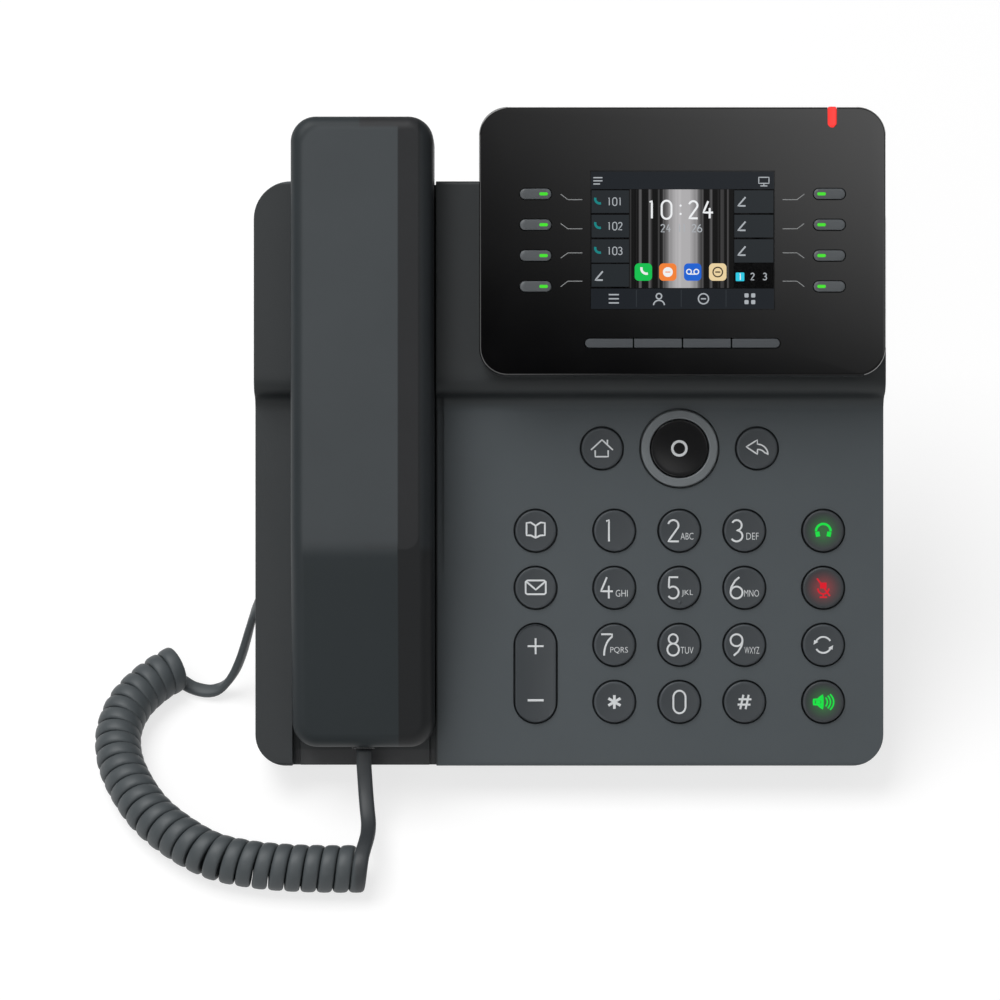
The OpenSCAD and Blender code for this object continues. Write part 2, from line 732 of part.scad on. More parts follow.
// Modular and network sockets: a box with a square hole and a latch notch
module socket_box(w, h, len, hole_w, hole_h, depth) {
    difference() {
        block(-w / 2, w / 2, 0, len, -h / 2, h / 2);
        block(-hole_w / 2, hole_w / 2, -1, depth, -hole_h / 2, hole_h / 2);
        block(-hole_w / 4, hole_w / 4, -1, depth, -hole_h / 2 - 1.4, 0);
    }
}

net_hole_w = 11.8;
net_hole_h = 8.2;
socket_depth = 13;
side_jack_w = 11;

// Round socket with a centre pin
module power_socket() {
    hole_r = 3.2;
    hole_depth = 9.5;
    difference() {
        block(-power_w / 2, power_w / 2, 0, hole_depth + 4, -jack_h / 2, jack_h / 2);
        translate([0, hole_depth, 0]) rotate([90, 0, 0]) cylinder(r = hole_r, h = hole_depth + 1);
    }
    translate([0, hole_depth + 0.5, 0]) rotate([90, 0, 0]) cylinder(r = 1, h = hole_depth - 0.5);
}

module rear_jacks() {
    color([0.12, 0.12, 0.13]) on_face() {
        for (x = network_jacks) translate([x, socket_v, jack_z])
            socket_box(jack_w, jack_h, jack_len, net_hole_w, net_hole_h, socket_depth);
        translate([power_x, socket_v, jack_z]) power_socket();
        for (v = side_sockets) translate([side_socket_x, v, jack_z]) rotate([0, 0, -90])
            socket_box(side_jack_w, jack_h, jack_len - 2, plug_w + 2 * plug_slack,
                       plug_h + 2 * plug_slack, socket_depth);
    }
}

module cover_screws() {
    head = -body_d + screw_head_t + screw_seat_t;
    color([0.6, 0.6, 0.62]) on_face() for (s = screws) at(s) difference() {
        union() {
            translate([0, 0, head - screw_head_t]) cylinder(r = screw_head_r, h = screw_head_t);
            translate([0, 0, head - eps]) cylinder(r = screw_r, h = -split_d + screw_reach - 2 - head);
        }
        for (a = [0, 90]) rotate([0, 0, a]) translate([0, 0, head - screw_head_t])
            cube([3.4, 0.8, 2], center = true);
    }
}

module hook_plunger() {
    color(rubber_black) on_face() translate([handset_x, hook_v, 0]) {
        block(-hook_w / 2, hook_w / 2, -hook_l / 2, hook_l / 2, hook_flange_top - eps, pad_low - 0.2);
        block(-hook_w / 2 - 1.5, hook_w / 2 + 1.5, -hook_l / 2 - 1, hook_l / 2 + 1,
              hook_flange_top - hook_flange_t, hook_flange_top);
        translate([0, 0, hook_end])
            cylinder(r = hook_stem_r, h = hook_flange_top - hook_flange_t - hook_end + eps);
    }
}

// ---- Stand ----
stand_foot = [to_face(foot_front_y, pad_t), to_face(foot_rear_y, pad_t)];
stand_rear = [stand_top_v, -body_d];

// A plate of the stand between two points of its side outline, its thickness to one side
function plate(a, b, t) = let (n = t * unit([a[1] - b[1], b[0] - a[0]])) [a, b, b + n, a + n];

module stand() {
    low = [stand_low_v, -body_d];
    window_w = stand_w - 48;
    window_low = 8;
    window_top = 45;
    rear = unit(stand_foot[1] - stand_rear);
    out = [-rear[1], rear[0]] * (stand_t + 3);
    color(body_grey) on_face() {
        difference() {
            union() {
                across(stand_w, plate(stand_rear, low, stand_t));
                across(stand_w, plate(stand_foot[1], stand_rear, stand_t));
                across(stand_w, plate(stand_foot[0], stand_foot[1], stand_t));
                for (s = [-1, 1]) translate([s * (stand_w - stand_t) / 2, 0, 0])
                    across(stand_t, [stand_rear, low, stand_foot[0], stand_foot[1]]);
            }
            block(-stand_w, stand_w, 0, body_h, -body_d, 0);
            across(window_w, [
                stand_foot[1] - window_low * rear + out, stand_foot[1] - window_top * rear + out,
                stand_foot[1] - window_top * rear - out, stand_foot[1] - window_low * rear - out]);
        }
        for (x = [-1, 1], v = stand_tabs) stand_tab(x * stand_tab_x, v);
    }
}

// Tab through a slot of the back cover, with a lip that hooks behind it
module stand_tab(x, v) {
    w = tab_slot_w / 2 - 0.3;
    d = tab_slot_v / 2 - 0.3;
    block(x - w, x + w, v - d, v + d, -body_d - eps, cover_floor + 2);
    block(x - w, x + w, v - d, v + d + 1.2, cover_floor + 0.3, cover_floor + 2);
}

module rubber_feet() {
    front = corner_cut / (sin(tilt) * cos(tilt)) / 2;
    front_y = body_d * sin(tilt);
    front_w = 22;
    rear_w = 18;
    rear_len = 10;
    corner = 2;
    color(rubber_black) translate([0, -centre_y, 0]) for (s = [-1, 1]) {
        translate([s * (body_w / 2 - 22.5), front_y, 0])
            slab(0, pad_t) rounded(front_w, 1.6 * front, corner);
        translate([s * (stand_w / 2 - 14), (foot_front_y + foot_rear_y) / 2, 0])
            slab(0, pad_t) rounded(rear_w, rear_len, corner);
    }
}

// ---- Display head ----
module head_outline(inset = 0) {
    translate([panel_x, head_mid_v]) rounded(head_w - 2 * inset, head_h - 2 * inset, head_r - inset);
}

line_keys = [for (s = [-1, 1], i = [0:line_key_n - 1])
    [panel_x + s * line_key_x, screen_v + (1.5 - i) * line_key_pitch]];
soft_keys = [for (i = [0:3]) [panel_x + (i - 1.5) * (soft_key_w + soft_gap), soft_key_v]];

// Room for the lugs and the knuckles beside them
module hinge_room(half, low, high) {
    for (s = [-1, 1]) translate([panel_x + s * hinge_x, 0, 0])
        block(-half, half, head_v - 1, hinge_v + hinge_r + 1.2, low, high);
}

module light_slot(grow) {
    x = panel_x + light_x;
    v = head_v + head_h - light_len + light_w / 2;
    proud = grow > 0 ? 1 : 0.1;
    low = head_board_top + 0.2 - grow;
    block(x - light_w / 2 - grow, x + light_w / 2 + grow, v, head_v + head_h + proud,
          low, head_top + proud);
    translate([x, v, low]) cylinder(r = light_w / 2 + grow, h = head_top + proud - low);
}

module screen_bezel() {
    chamfer = 0.8;
    knuckle = lug_w / 2 + lug_gap + knuckle_w + 0.5;
    color(head_black) on_face() difference() {
        union() {
            slab(head_split, head_top - chamfer) head_outline();
            hull() {
                slab(head_top - chamfer - eps, head_top - chamfer) head_outline();
                slab(head_top - chamfer * 0.3, head_top - chamfer * 0.3 + eps) head_outline(chamfer * 0.3);
                slab(head_top - eps, head_top) head_outline(chamfer);
            }
        }
        slab(head_split - 1, plate_low) head_outline(head_wall);
        at([panel_x, screen_v]) slab(plate_low - 1, head_top + 1)
            square([screen_w + 0.5, screen_h + 0.5], center = true);
        for (p = line_keys) at(p) slab(plate_low - 1, head_top + 1)
            pill(line_key_w + 2 * head_key_gap, line_key_h + 2 * head_key_gap);
        at([panel_x, soft_key_v]) slab(plate_low - 1, head_top + 1)
            pill(4 * soft_key_w + 3 * soft_gap + 2 * head_key_gap, soft_key_h + 2 * head_key_gap);
        hinge_room(knuckle, head_low, hinge_z + hinge_r + 0.3);
        light_slot(0.15);
    }
}

module screen_back() {
    chamfer = 3;
    top = head_v + head_h;
    inner = head_low + head_wall;
    outline = concat(arc([hinge_v, hinge_z], hinge_r, 270, 180, 10), [[head_v, head_split],
        [top, head_split], [top, head_low + chamfer], [top - chamfer, head_low]]);
    color([0.13, 0.13, 0.14]) on_face() difference() {
        union() {
            difference() {
                intersection() {
                    slab(head_low, head_split) head_outline();
                    across(3 * body_w, outline);
                }
                difference() {
                    slab(inner, head_split + 1) head_outline(head_wall);
                    block(-body_w, body_w, 0, hinge_v + hinge_r - 2, head_low, inner + 2);
                    block(-body_w, body_w, top - 5, top, head_low, inner + 1.4);
                }
            }
            for (s = [-1, 1]) translate([panel_x + s * hinge_x, hinge_v, hinge_z]) rotate([0, 90, 0])
                cylinder(r = hinge_r - 0.1, h = lug_w + 2 * (lug_gap + knuckle_w), center = true);
            for (p = head_posts) at(p, inner - eps)
                cylinder(r = 2.5, h = head_board_top - board_t - inner + eps);
        }
        hinge_room(lug_w / 2 + lug_gap, head_low - 1, head_top);
        for (s = [-1, 1]) translate([panel_x + s * hinge_x, hinge_v, hinge_z]) rotate([0, 90, 0])
            cylinder(r = pin_d / 2 + pin_fit, h = lug_w + 2 * knuckle_w - 2, center = true);
    }
}

head_posts = [for (s = [-1, 1], v = [head_v + 21.9, head_v + 71.9]) [panel_x + s * (hinge_x + 4), v]];

module hinge_pins() {
    color([0.7, 0.7, 0.72]) on_face() for (s = [-1, 1])
        translate([panel_x + s * hinge_x, hinge_v, hinge_z]) rotate([0, 90, 0])
            cylinder(r = pin_d / 2, h = lug_w + 2 * knuckle_w - 2.4, center = true);
}

module lcd_panel() {
    color([0.02, 0.03, 0.05]) on_face() at([panel_x, screen_v]) {
        slab(plate_low - 0.2, head_top - 0.1) square([screen_w + 0.2, screen_h + 0.2], center = true);
        slab(head_board_top + 0.1, plate_low - 0.1) square([screen_w + 10, screen_h + 7], center = true);
    }
}

module display_board() {
    half = head_w / 2 - head_wall - 1.2;
    low_half = hinge_x - lug_w / 2 - lug_gap - knuckle_w - 1;
    knee_v = hinge_v + hinge_r + 1.5;
    color(board_green) on_face() {
        slab(head_board_top - board_t, head_board_top) {
            translate([panel_x - half, knee_v]) square([2 * half, head_v + head_h - head_r - knee_v]);
            translate([panel_x - low_half, head_v + head_wall + 1.4])
                square([2 * low_half, knee_v + 1 - head_v - head_wall - 1.4]);
            translate([panel_x - half + head_r, knee_v])
                square([2 * (half - head_r), head_v + head_h - head_wall - 1 - knee_v]);
        }
        for (p = soft_keys) at(p) slab(head_board_top - eps, soft_switch_top)
            square(soft_switch, center = true);
    }
}

// Its cap, its flange and, where it has one, its stem
module head_key(p) {
    color([0.33, 0.34, 0.35]) on_face() at(p) {
        slab(head_flange_top - eps, head_top + head_key_rise) children(0);
        slab(head_flange_top - head_flange_t, head_flange_top) children(1);
        if ($children > 2)
            slab(head_board_top + head_press_gap, head_flange_top - head_flange_t + eps) children(2);
    }
}

module line_key(i) {
    head_key(line_keys[i]) {
        pill(line_key_w, line_key_h);
        pill(line_key_w + 1.6, line_key_h + 1.6);
        square([line_key_w / 2, line_key_h / 2], center = true);
    }
}

// Soft keys, over a switch each: the two outer ones have a round end
module soft_key(i) {
    end = i == 0 ? -1 : i == 3 ? 1 : 0;
    r = soft_key_h / 2;
    head_key(soft_keys[i]) {
        union() {
            translate([-end * r / 2, 0]) square([soft_key_w - abs(end) * r, soft_key_h], center = true);
            if (end != 0) translate([end * (soft_key_w / 2 - r), 0]) circle(r);
        }
        square([soft_key_w, soft_key_h + 1.6], center = true);
    }
}

module message_light() {
    color([0.9, 0.2, 0.15]) on_face() light_slot(0);
}

// ---- Handset ----
// The outer form of the handset's back, or its inside
module handset_form(inset, low) {
    edge = handset_edge - inset;
    half = handset_w / 2 - handset_edge - handset_corner;
    tips = [[handset_top - handset_edge - handset_corner, handset_h],
            [handset_bend, handset_h],
            [handset_low + handset_edge + handset_corner, handset_nose_h]];
    hull() {
        for (x = [-1, 1], t = tips) translate([handset_x + x * half, t[0], t[1] - handset_edge])
            rotate_extrude($fn = 32) intersection() {
                translate([handset_corner, 0]) circle(edge, $fn = 32);
                square([handset_corner + edge, edge]);
            }
        for (x = [-1, 1], v = [tips[0][0], tips[2][0]]) translate([handset_x + x * half, v, low])
            cylinder(r = handset_edge + handset_corner - inset, h = 1, $fn = 32);
    }
}

module handset_outline(inset) {
    r = handset_edge + handset_corner;
    translate([handset_x, (handset_top + handset_low) / 2])
        rounded(handset_w - 2 * inset, handset_top - handset_low - 2 * inset, r - inset);
}

// Bore for the modular plug in the lower end
module plug_room() {
    w = plug_w / 2 + plug_slack;
    h = plug_h / 2 + plug_slack;
    block(handset_x - w, handset_x + w, handset_low - 1, handset_low + plug_len + 1,
          plug_z - h, plug_z + h);
}

module handset_cover() {
    color(body_grey) on_face() difference() {
        handset_form(0, handset_split);
        difference() {
            handset_form(handset_wall, handset_split - 1.5);
            socket_shell();
        }
        plug_room();
    }
}

// Walls round the plug inside the handset
module socket_shell() {
    half = plug_w / 2 + socket_wall;
    block(handset_x - half, handset_x + half, handset_low, handset_low + plug_len + socket_wall + 0.3,
          -body_d, plug_z + plug_h / 2 + socket_wall - 0.6);
}

// Earpiece and mouthpiece
socket_wall = 2.2;
inner_skin = 2;
capsule_r = 13;
capsule_gap = 0.5;
mic_v = mouth_v + 4;

module handset_inner() {
    end = 3.5;
    ear_slot_pitch = 3.6;
    mic_hole_pitch = 4;
    color(body_grey) on_face() difference() {
        intersection() {
            slab(pad_low, handset_split) handset_outline(0);
            across(3 * body_w, [[handset_low, handset_split], [handset_low, plug_z - 3 * end / 2],
                [handset_low + end, pad_low + end / 2], [mouth_v - pad_len / 2 + end, pad_low],
                [mouth_v + pad_len / 2 - end, pad_low], [mouth_v + pad_len / 2 + end, grip_h],
                [ear_v - pad_len / 2, grip_h], [ear_v - pad_len / 2, pad_low],
                [ear_v + pad_len / 2, pad_low], [ear_v + pad_len / 2 + 2, grip_h],
                [handset_top - end, grip_h], [handset_top, handset_split]]);
        }
        difference() {
            slab(grip_h + inner_skin, handset_split + 1) handset_outline(handset_wall);
            socket_shell();
            block(-body_w, body_w, handset_top - end - 2, handset_top, pad_low, handset_split - 1);
        }
        for (v = [ear_v, mic_v]) at([handset_x, v], pad_low + inner_skin)
            cylinder(r = capsule_r + capsule_gap, h = body_d);
        for (i = [-2:2]) translate([handset_x + i * ear_slot_pitch, ear_v, 0])
            slab(pad_low - 1, pad_low + inner_skin + 1) pill(1.6, 14 - abs(i) * 2);
        for (i = [-1:1]) translate([handset_x + i * mic_hole_pitch, mic_v, pad_low - 1])
            cylinder(r = 0.8, h = inner_skin + 2, $fn = 24);
        plug_room();
    }
}

// Earpiece receiver and mouthpiece microphone on the floors of their wells
module handset_capsules() {
    floor = pad_low + inner_skin;
    rim_t = 3.4;
    receiver_t = 5.6;
    magnet = capsule_r - 4;
    disc_t = 1.2;
    mic_r = 4.8;
    mic_t = 5;
    color([0.5, 0.5, 0.52]) on_face() {
        at([handset_x, ear_v], floor) rotate_extrude() polygon([
            [0, 0], [capsule_r, 0], [capsule_r, rim_t], [magnet, receiver_t], [0, receiver_t]]);
        at([handset_x, mic_v], floor) {
            cylinder(r = capsule_r, h = disc_t);
            cylinder(r = mic_r, h = mic_t);
        }
    }
}

module modular_plug() {
    block(-plug_w / 2, plug_w / 2, -plug_tail, plug_len - plug_tail, -plug_h / 2, plug_h / 2);
}

module handset_plug() {
    color([0.35, 0.36, 0.38]) on_face() translate([handset_x, handset_low, plug_z]) modular_plug();
}

module base_plug() {
    color([0.35, 0.36, 0.38]) on_face()
        translate([side_socket_x - 4 + plug_tail, side_socket_v, jack_z]) rotate([0, 0, -90]) modular_plug();
}

module handset_lead() { color([0.24, 0.26, 0.27]) tube(handset_lead_route, cord_w * 0.8, 8); }
module base_lead() { color([0.24, 0.26, 0.27]) tube(base_lead_route, cord_w * 0.8, 8); }
module cord_coil() { color([0.24, 0.26, 0.27]) tube(coil_route, coil_d, 12); }

top_cover();
back_cover();
main_board();
keypad_mat();
loudspeaker();
rear_jacks();
stand();
rubber_feet();
cover_screws();
hinge_pins();
hook_plunger();
screen_bezel();
screen_back();
lcd_panel();
display_board();
message_light();
handset_cover();
handset_inner();
handset_capsules();
handset_plug();
base_plug();
handset_lead();
base_lead();
cord_coil();
nav_carrier();
nav_ring();
ok_key();
volume_rocker();
for (k = round_keys) body_key(k[0], k[1]);
for (i = [1:8]) line_key(i - 1);
for (i = [1:4]) soft_key(i - 1);
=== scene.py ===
"""Desk IP phone: every piece that shows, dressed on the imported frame, and the studio round it.

Sizes are millimetres in the face frame: X to the right, V up the keypad face from its lower
edge, W out of that face. stand_up() takes a finished mesh from there to its place on the desk.
"""

import json
from math import cos, dist, pi, radians, sin

import bmesh
import bpy
from mathutils import Matrix, Vector


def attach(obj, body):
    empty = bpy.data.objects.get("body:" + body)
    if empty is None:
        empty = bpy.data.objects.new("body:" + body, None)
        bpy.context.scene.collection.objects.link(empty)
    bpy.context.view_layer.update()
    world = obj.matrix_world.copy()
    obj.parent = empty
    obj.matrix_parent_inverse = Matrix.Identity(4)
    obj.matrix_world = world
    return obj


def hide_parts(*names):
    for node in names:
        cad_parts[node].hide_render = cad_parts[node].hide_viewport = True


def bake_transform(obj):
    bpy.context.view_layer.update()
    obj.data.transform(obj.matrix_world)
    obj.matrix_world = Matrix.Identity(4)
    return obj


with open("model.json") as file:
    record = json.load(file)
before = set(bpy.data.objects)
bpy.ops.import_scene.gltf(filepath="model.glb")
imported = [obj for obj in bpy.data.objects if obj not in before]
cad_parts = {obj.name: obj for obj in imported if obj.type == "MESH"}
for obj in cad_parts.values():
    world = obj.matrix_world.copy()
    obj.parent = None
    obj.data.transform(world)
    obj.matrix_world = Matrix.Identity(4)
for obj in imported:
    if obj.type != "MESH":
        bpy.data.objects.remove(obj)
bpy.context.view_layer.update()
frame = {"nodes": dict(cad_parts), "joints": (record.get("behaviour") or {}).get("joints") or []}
nodes = frame["nodes"]
MM = 0.001

# ---- The face frame, from the hinge of the display head ----
TILT = radians(45)
HINGE_V = 128.5 * MM
HINGE_W = 12.9 * MM
hinge = Vector(next(j for j in frame["joints"] if j["name"] == "screen_tilt")["pos_m"])
FACE_Y = hinge.y - HINGE_V * cos(TILT) + HINGE_W * sin(TILT)
FACE_Z = hinge.z - HINGE_V * sin(TILT) - HINGE_W * cos(TILT)
FACE = Matrix.Translation((0, FACE_Y, FACE_Z)) @ Matrix.Rotation(TILT, 4, "X")
TO_FACE = FACE.inverted()

PANEL_X = 35.2
HANDSET_X = -65.6
HEAD_TOP = 20.5
SCREEN_V = 166.8


def on_face(x, v, w):
    return FACE @ Vector((x * MM, v * MM, w * MM))


def face_box(node):
    """Lowest and highest corner of a CAD node in the face frame, in millimetres."""
    points = [TO_FACE @ v.co for v in nodes[node].data.vertices]
    low = [min(p[i] for p in points) / MM for i in range(3)]
    high = [max(p[i] for p in points) / MM for i in range(3)]
    return low, high


def face_middle(node):
    low, high = face_box(node)
    return (low[0] + high[0]) / 2, (low[1] + high[1]) / 2


def new_object(name, data):
    obj = bpy.data.objects.new(name, data)
    bpy.context.scene.collection.objects.link(obj)
    return obj


# ---- Camera, square to the keypad face ----
CAMERA_AT = (-22.2, 85.1, 1200)
camera_data = bpy.data.cameras.new("studio_camera")
camera_data.lens = 135
camera_data.sensor_width = 36
camera = new_object("studio_camera", camera_data)
camera.location = on_face(*CAMERA_AT)
camera.rotation_euler = (TILT, 0, 0)
bpy.context.scene.camera = camera


# ---- Modelling helpers ----
def pick(*objects):
    """Selects these objects alone and makes the first the active one."""
    bpy.ops.object.select_all(action="DESELECT")
    for obj in objects:
        obj.select_set(True)
    bpy.context.view_layer.objects.active = objects[0]
    return objects[0]


def edit(obj, select="SELECT"):
    pick(obj)
    bpy.ops.object.mode_set(mode="EDIT")
    bpy.ops.mesh.select_mode(type="VERT")
    bpy.ops.mesh.select_all(action=select)


def done():
    bpy.ops.object.mode_set(mode="OBJECT")


def select_points(obj, test):
    """In edit mode: selects the vertices whose place passes the test."""
    mesh = bmesh.from_edit_mesh(obj.data)
    for vert in mesh.verts:
        vert.select = bool(test(vert.co))
    mesh.select_flush(True)
    mesh.select_flush(False)
    bmesh.update_edit_mesh(obj.data)


def turn_outwards(obj):
    edit(obj)
    bpy.ops.mesh.remove_doubles(threshold=1e-7)
    bpy.ops.mesh.normals_make_consistent(inside=False)
    done()


def primitive(name, add, **settings):
    """A new primitive, alone in the selection, with its place in its mesh."""
    bpy.ops.object.select_all(action="DESELECT")
    add(**settings)
    bpy.context.object.name = name
    bpy.ops.object.transform_apply(location=True, rotation=True, scale=True)
    return bpy.context.object


def grown(name, profile, steps=64, spread=(0, 0), ring=False):
    """A body grown ring by ring out of a circle. profile lists (radius, height); spread moves
    the four quarters apart, which makes a pill or a rounded plate. A ring stays open inside."""
    radius, height = profile[0]
    obj = primitive(name, bpy.ops.mesh.primitive_circle_add, vertices=steps, radius=radius * MM,
                    fill_type="NOTHING" if ring else "NGON", rotation=(0, 0, pi / steps))
    edit(obj)
    bpy.ops.transform.translate(value=(0, 0, height * MM))
    for next_radius, next_height in profile[1:]:
        rise = (next_height - height) * MM
        bpy.ops.mesh.extrude_region_move(TRANSFORM_OT_translate={"value": (0, 0, rise)})
        if next_radius == 0:
            bpy.ops.mesh.merge(type="CENTER")
        elif next_radius != radius:
            share = next_radius / radius
            bpy.ops.transform.resize(value=(share, share, 1),
                                     center_override=(0, 0, next_height * MM))
        radius, height = next_radius, next_height
    for axis in (0, 1):
        if spread[axis]:
            for side in (-1, 1):
                select_points(obj, lambda co: co[axis] * side > 0)
                move = [0, 0, 0]
                move[axis] = side * spread[axis] / 2 * MM
                bpy.ops.transform.translate(value=move)
    done()
    turn_outwards(obj)
    return obj


def block(name, x0, x1, v0, v1, w0, w1):
    """A box between these limits."""
    return primitive(
        name, bpy.ops.mesh.primitive_cube_add, size=1,
        location=((x0 + x1) / 2 * MM, (v0 + v1) / 2 * MM, (w0 + w1) / 2 * MM),
        scale=((x1 - x0) * MM, (v1 - v0) * MM, (w1 - w0) * MM))


def shaped(obj, rule):
    """Moves each point of a mesh by a rule in millimetres."""
    for vert in obj.data.vertices:
        x, v, w = rule(*(c / MM for c in vert.co))
        vert.co = (x * MM, v * MM, w * MM)
    return obj


def shifted(obj, x=0, v=0, w=0):
    return shaped(obj, lambda a, b, c: (a + x, b + v, c + w))


def copied(obj, name):
    return new_object(name, obj.data.copy())


def joined(first, *others):
    if others:
        pick(first, *others)
        bpy.ops.object.join()
    return first


def finished_with(obj, material):
    obj.data.materials.clear()
    obj.data.materials.append(material)
    return obj


def bevelled(obj, width, segments=2, angle=32):
    """Rounds the sharp edges."""
    pick(obj)
    rounding = obj.modifiers.new("edge_rounding", "BEVEL")
    rounding.width = width * MM
    rounding.segments = segments
    rounding.limit_method = "ANGLE"
    rounding.angle_limit = radians(angle)
    rounding.use_clamp_overlap = False
    rounding.miter_outer = "MITER_ARC"
    bpy.ops.object.modifier_apply(modifier="edge_rounding")
    return obj


def smoothed(obj, angle=35):
    pick(obj)
    bpy.ops.object.shade_smooth_by_angle(angle=radians(angle))
    weights = obj.modifiers.new("face_weights", "WEIGHTED_NORMAL")
    weights.keep_sharp = True
    bpy.ops.object.modifier_apply(modifier="face_weights")
    return obj


WORN_FACE = 1.5e-6


def mark_worn_edges(obj):
    """Point value edge_wear: 1 on outward edges between small faces, 0 on open surfaces."""
    mesh = bmesh.new()
    mesh.from_mesh(obj.data)
    worn = []
    for vert in mesh.verts:
        small = all(face.calc_area() < WORN_FACE for face in vert.link_faces)
        bends = [edge.calc_face_angle_signed(0) for edge in vert.link_edges]
        worn.append(1.0 if small and bends and max(bends) > 0.3 else 0.0)
    mesh.free()
    attribute = obj.data.attributes.new("edge_wear", "FLOAT", "POINT")
    attribute.data.foreach_set("value", worn)
    return obj


def stand_up(obj):
    """From the face frame to the desk."""
    pick(obj)
    obj.matrix_world = FACE
    bpy.ops.object.transform_apply(location=True, rotation=True, scale=True)
    return obj


def fitted(obj, body, slot, *replaced):
    """The piece rides on a body and stands for CAD nodes; its finish slot is not used."""
    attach(obj, body)
    if replaced:
        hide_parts(*replaced)
    return obj


def seated(obj, node, slot):
    """A finished key or ring, modelled about its own middle, in the place of its node."""
    x, v = face_middle(node)
    stand_up(shifted(obj, x, v))
    return fitted(mark_worn_edges(obj), node, slot, node)


def dressed(node, body, slot, material, rounding, angle=32):
    """A copy of a CAD node with merged faces, rounded edges and a finish, in the node's place."""
    obj = pick(new_object(node + "_dressed", nodes[node].data.copy()))
    bpy.ops.mesh.customdata_custom_splitnormals_clear()
    edit(obj)
    bpy.ops.mesh.remove_doubles(threshold=2e-6)
    bpy.ops.mesh.dissolve_limited(angle_limit=radians(0.5))
    done()
    if rounding:
        bevelled(obj, rounding, 2, angle)
    smoothed(obj, angle)
    mark_worn_edges(obj)
    finished_with(obj, material)
    return fitted(obj, body, slot, node)


# ---- Material helpers ----
def srgb(red, green, blue):
    """A colour as it is seen, 0 to 255, as Blender keeps it."""
    def linear(value):
        share = value / 255
        return share / 12.92 if share <= 0.04045 else ((share + 0.055) / 1.055) ** 2.4
    return linear(red), linear(green), linear(blue), 1.0


def feed(tree, node, inputs):
    """Each input gets a constant value, or a link where the value is another node's socket."""
    for key, value in dict(inputs).items():
        if isinstance(value, bpy.types.NodeSocket):
            tree.links.new(value, node.inputs[key])
        else:
            node.inputs[key].default_value = value
    return node


def add_node(tree, kind, inputs=(), **settings):
    node = tree.nodes.new(kind)
    for key, value in settings.items():
        setattr(node, key, value)
    return feed(tree, node, inputs)


def new_group(name, inputs, outputs):
    """An empty node group with float or colour sockets: name -> default."""
    group = bpy.data.node_groups.new(name, "ShaderNodeTree")
    for key, value in inputs.items():
        kind = "NodeSocketColor" if isinstance(value, tuple) else "NodeSocketFloat"
        made = group.interface.new_socket(name=key, in_out="INPUT", socket_type=kind)
        made.default_value = value
    for key in outputs:
        group.interface.new_socket(name=key, in_out="OUTPUT", socket_type="NodeSocketFloat")
    start = group.nodes.new("NodeGroupInput")
    end = group.nodes.new("NodeGroupOutput")
    return group, start.outputs, end.inputs


def math_node(tree, operation, first, second=0.0, clamp=False):
    return add_node(tree, "ShaderNodeMath", {0: first, 1: second}, operation=operation,
                    use_clamp=clamp).outputs[0]


def object_place(tree):
    return add_node(tree, "ShaderNodeTexCoord").outputs["Object"]


def noise(tree, place, scale, detail, roughness):
    return add_node(tree, "ShaderNodeTexNoise", {
        "Vector": place, "Scale": scale, "Detail": detail, "Roughness": roughness}).outputs["Fac"]


def ramp(tree, value, low, high, start=0.0, end=1.0, kind="LINEAR"):
    """start up to low, end past high, and a slope between them."""
    return add_node(tree, "ShaderNodeMapRange", {
        "Value": value, "From Min": low, "From Max": high, "To Min": start, "To Max": end},
        interpolation_type=kind).outputs["Result"]


def make_grain_group():
    """Moulded grain: a fine stipple with a slow swell, as a height and as a tone."""
    group, given, made = new_group("moulded_grain", {"Grains per metre": 2600.0, "Swell": 0.3},
                                   ("Height", "Tone"))
    place = object_place(group)
    fine = noise(group, place, given["Grains per metre"], 2.0, 0.6)
    slow = noise(group, place, 38.0, 3.0, 0.5)
    weighted = math_node(group, "MULTIPLY", slow, given["Swell"])
    group.links.new(math_node(group, "ADD", fine, weighted), made["Height"])
    group.links.new(slow, made["Tone"])
    return group


def make_wear_group():
    """Handling wear: rubbed outward edges broken up by noise, and faint scuffs."""
    group, given, made = new_group("handling_wear", {"Amount": 0.4}, ("Rubbed", "Scuffed"))
    place = object_place(group)
    edge = add_node(group, "ShaderNodeAttribute", attribute_name="edge_wear").outputs["Fac"]
    broken = ramp(group, noise(group, place, 160.0, 4.0, 0.65), 0.42, 0.68)
    rubbed = math_node(group, "MULTIPLY", math_node(group, "MULTIPLY", edge, broken),
                       given["Amount"], clamp=True)
    stretched = add_node(group, "ShaderNodeMapping", {
        "Vector": place, "Rotation": (0.4, 0.9, 0.3), "Scale": (1.0, 9.0, 9.0)}).outputs[0]
    scuffed = ramp(group, noise(group, stretched, 55.0, 5.0, 0.7), 0.6, 0.82)
    group.links.new(rubbed, made["Rubbed"])
    group.links.new(math_node(group, "MULTIPLY", scuffed, given["Amount"]), made["Scuffed"])
    return group


GRAIN = make_grain_group()
WEAR = make_wear_group()
BLACK = (0.0, 0.0, 0.0, 1.0)
WHITE = (1.0, 1.0, 1.0, 1.0)


def group_node(tree, group, inputs):
    return feed(tree, add_node(tree, "ShaderNodeGroup", node_tree=group), inputs)


def blank_material(name):
    material = bpy.data.materials.new(name)
    material.use_nodes = True
    tree = material.node_tree
    return material, tree, tree.nodes["Principled BSDF"]


def mixed_colour(tree, share, first, second):
    return add_node(tree, "ShaderNodeMix", {0: share, 6: first, 7: second},
                    data_type="RGBA").outputs[2]


def scaled_colour(colour, share):
    return tuple(min(1.0, c * share) for c in colour[:3]) + (1.0,)


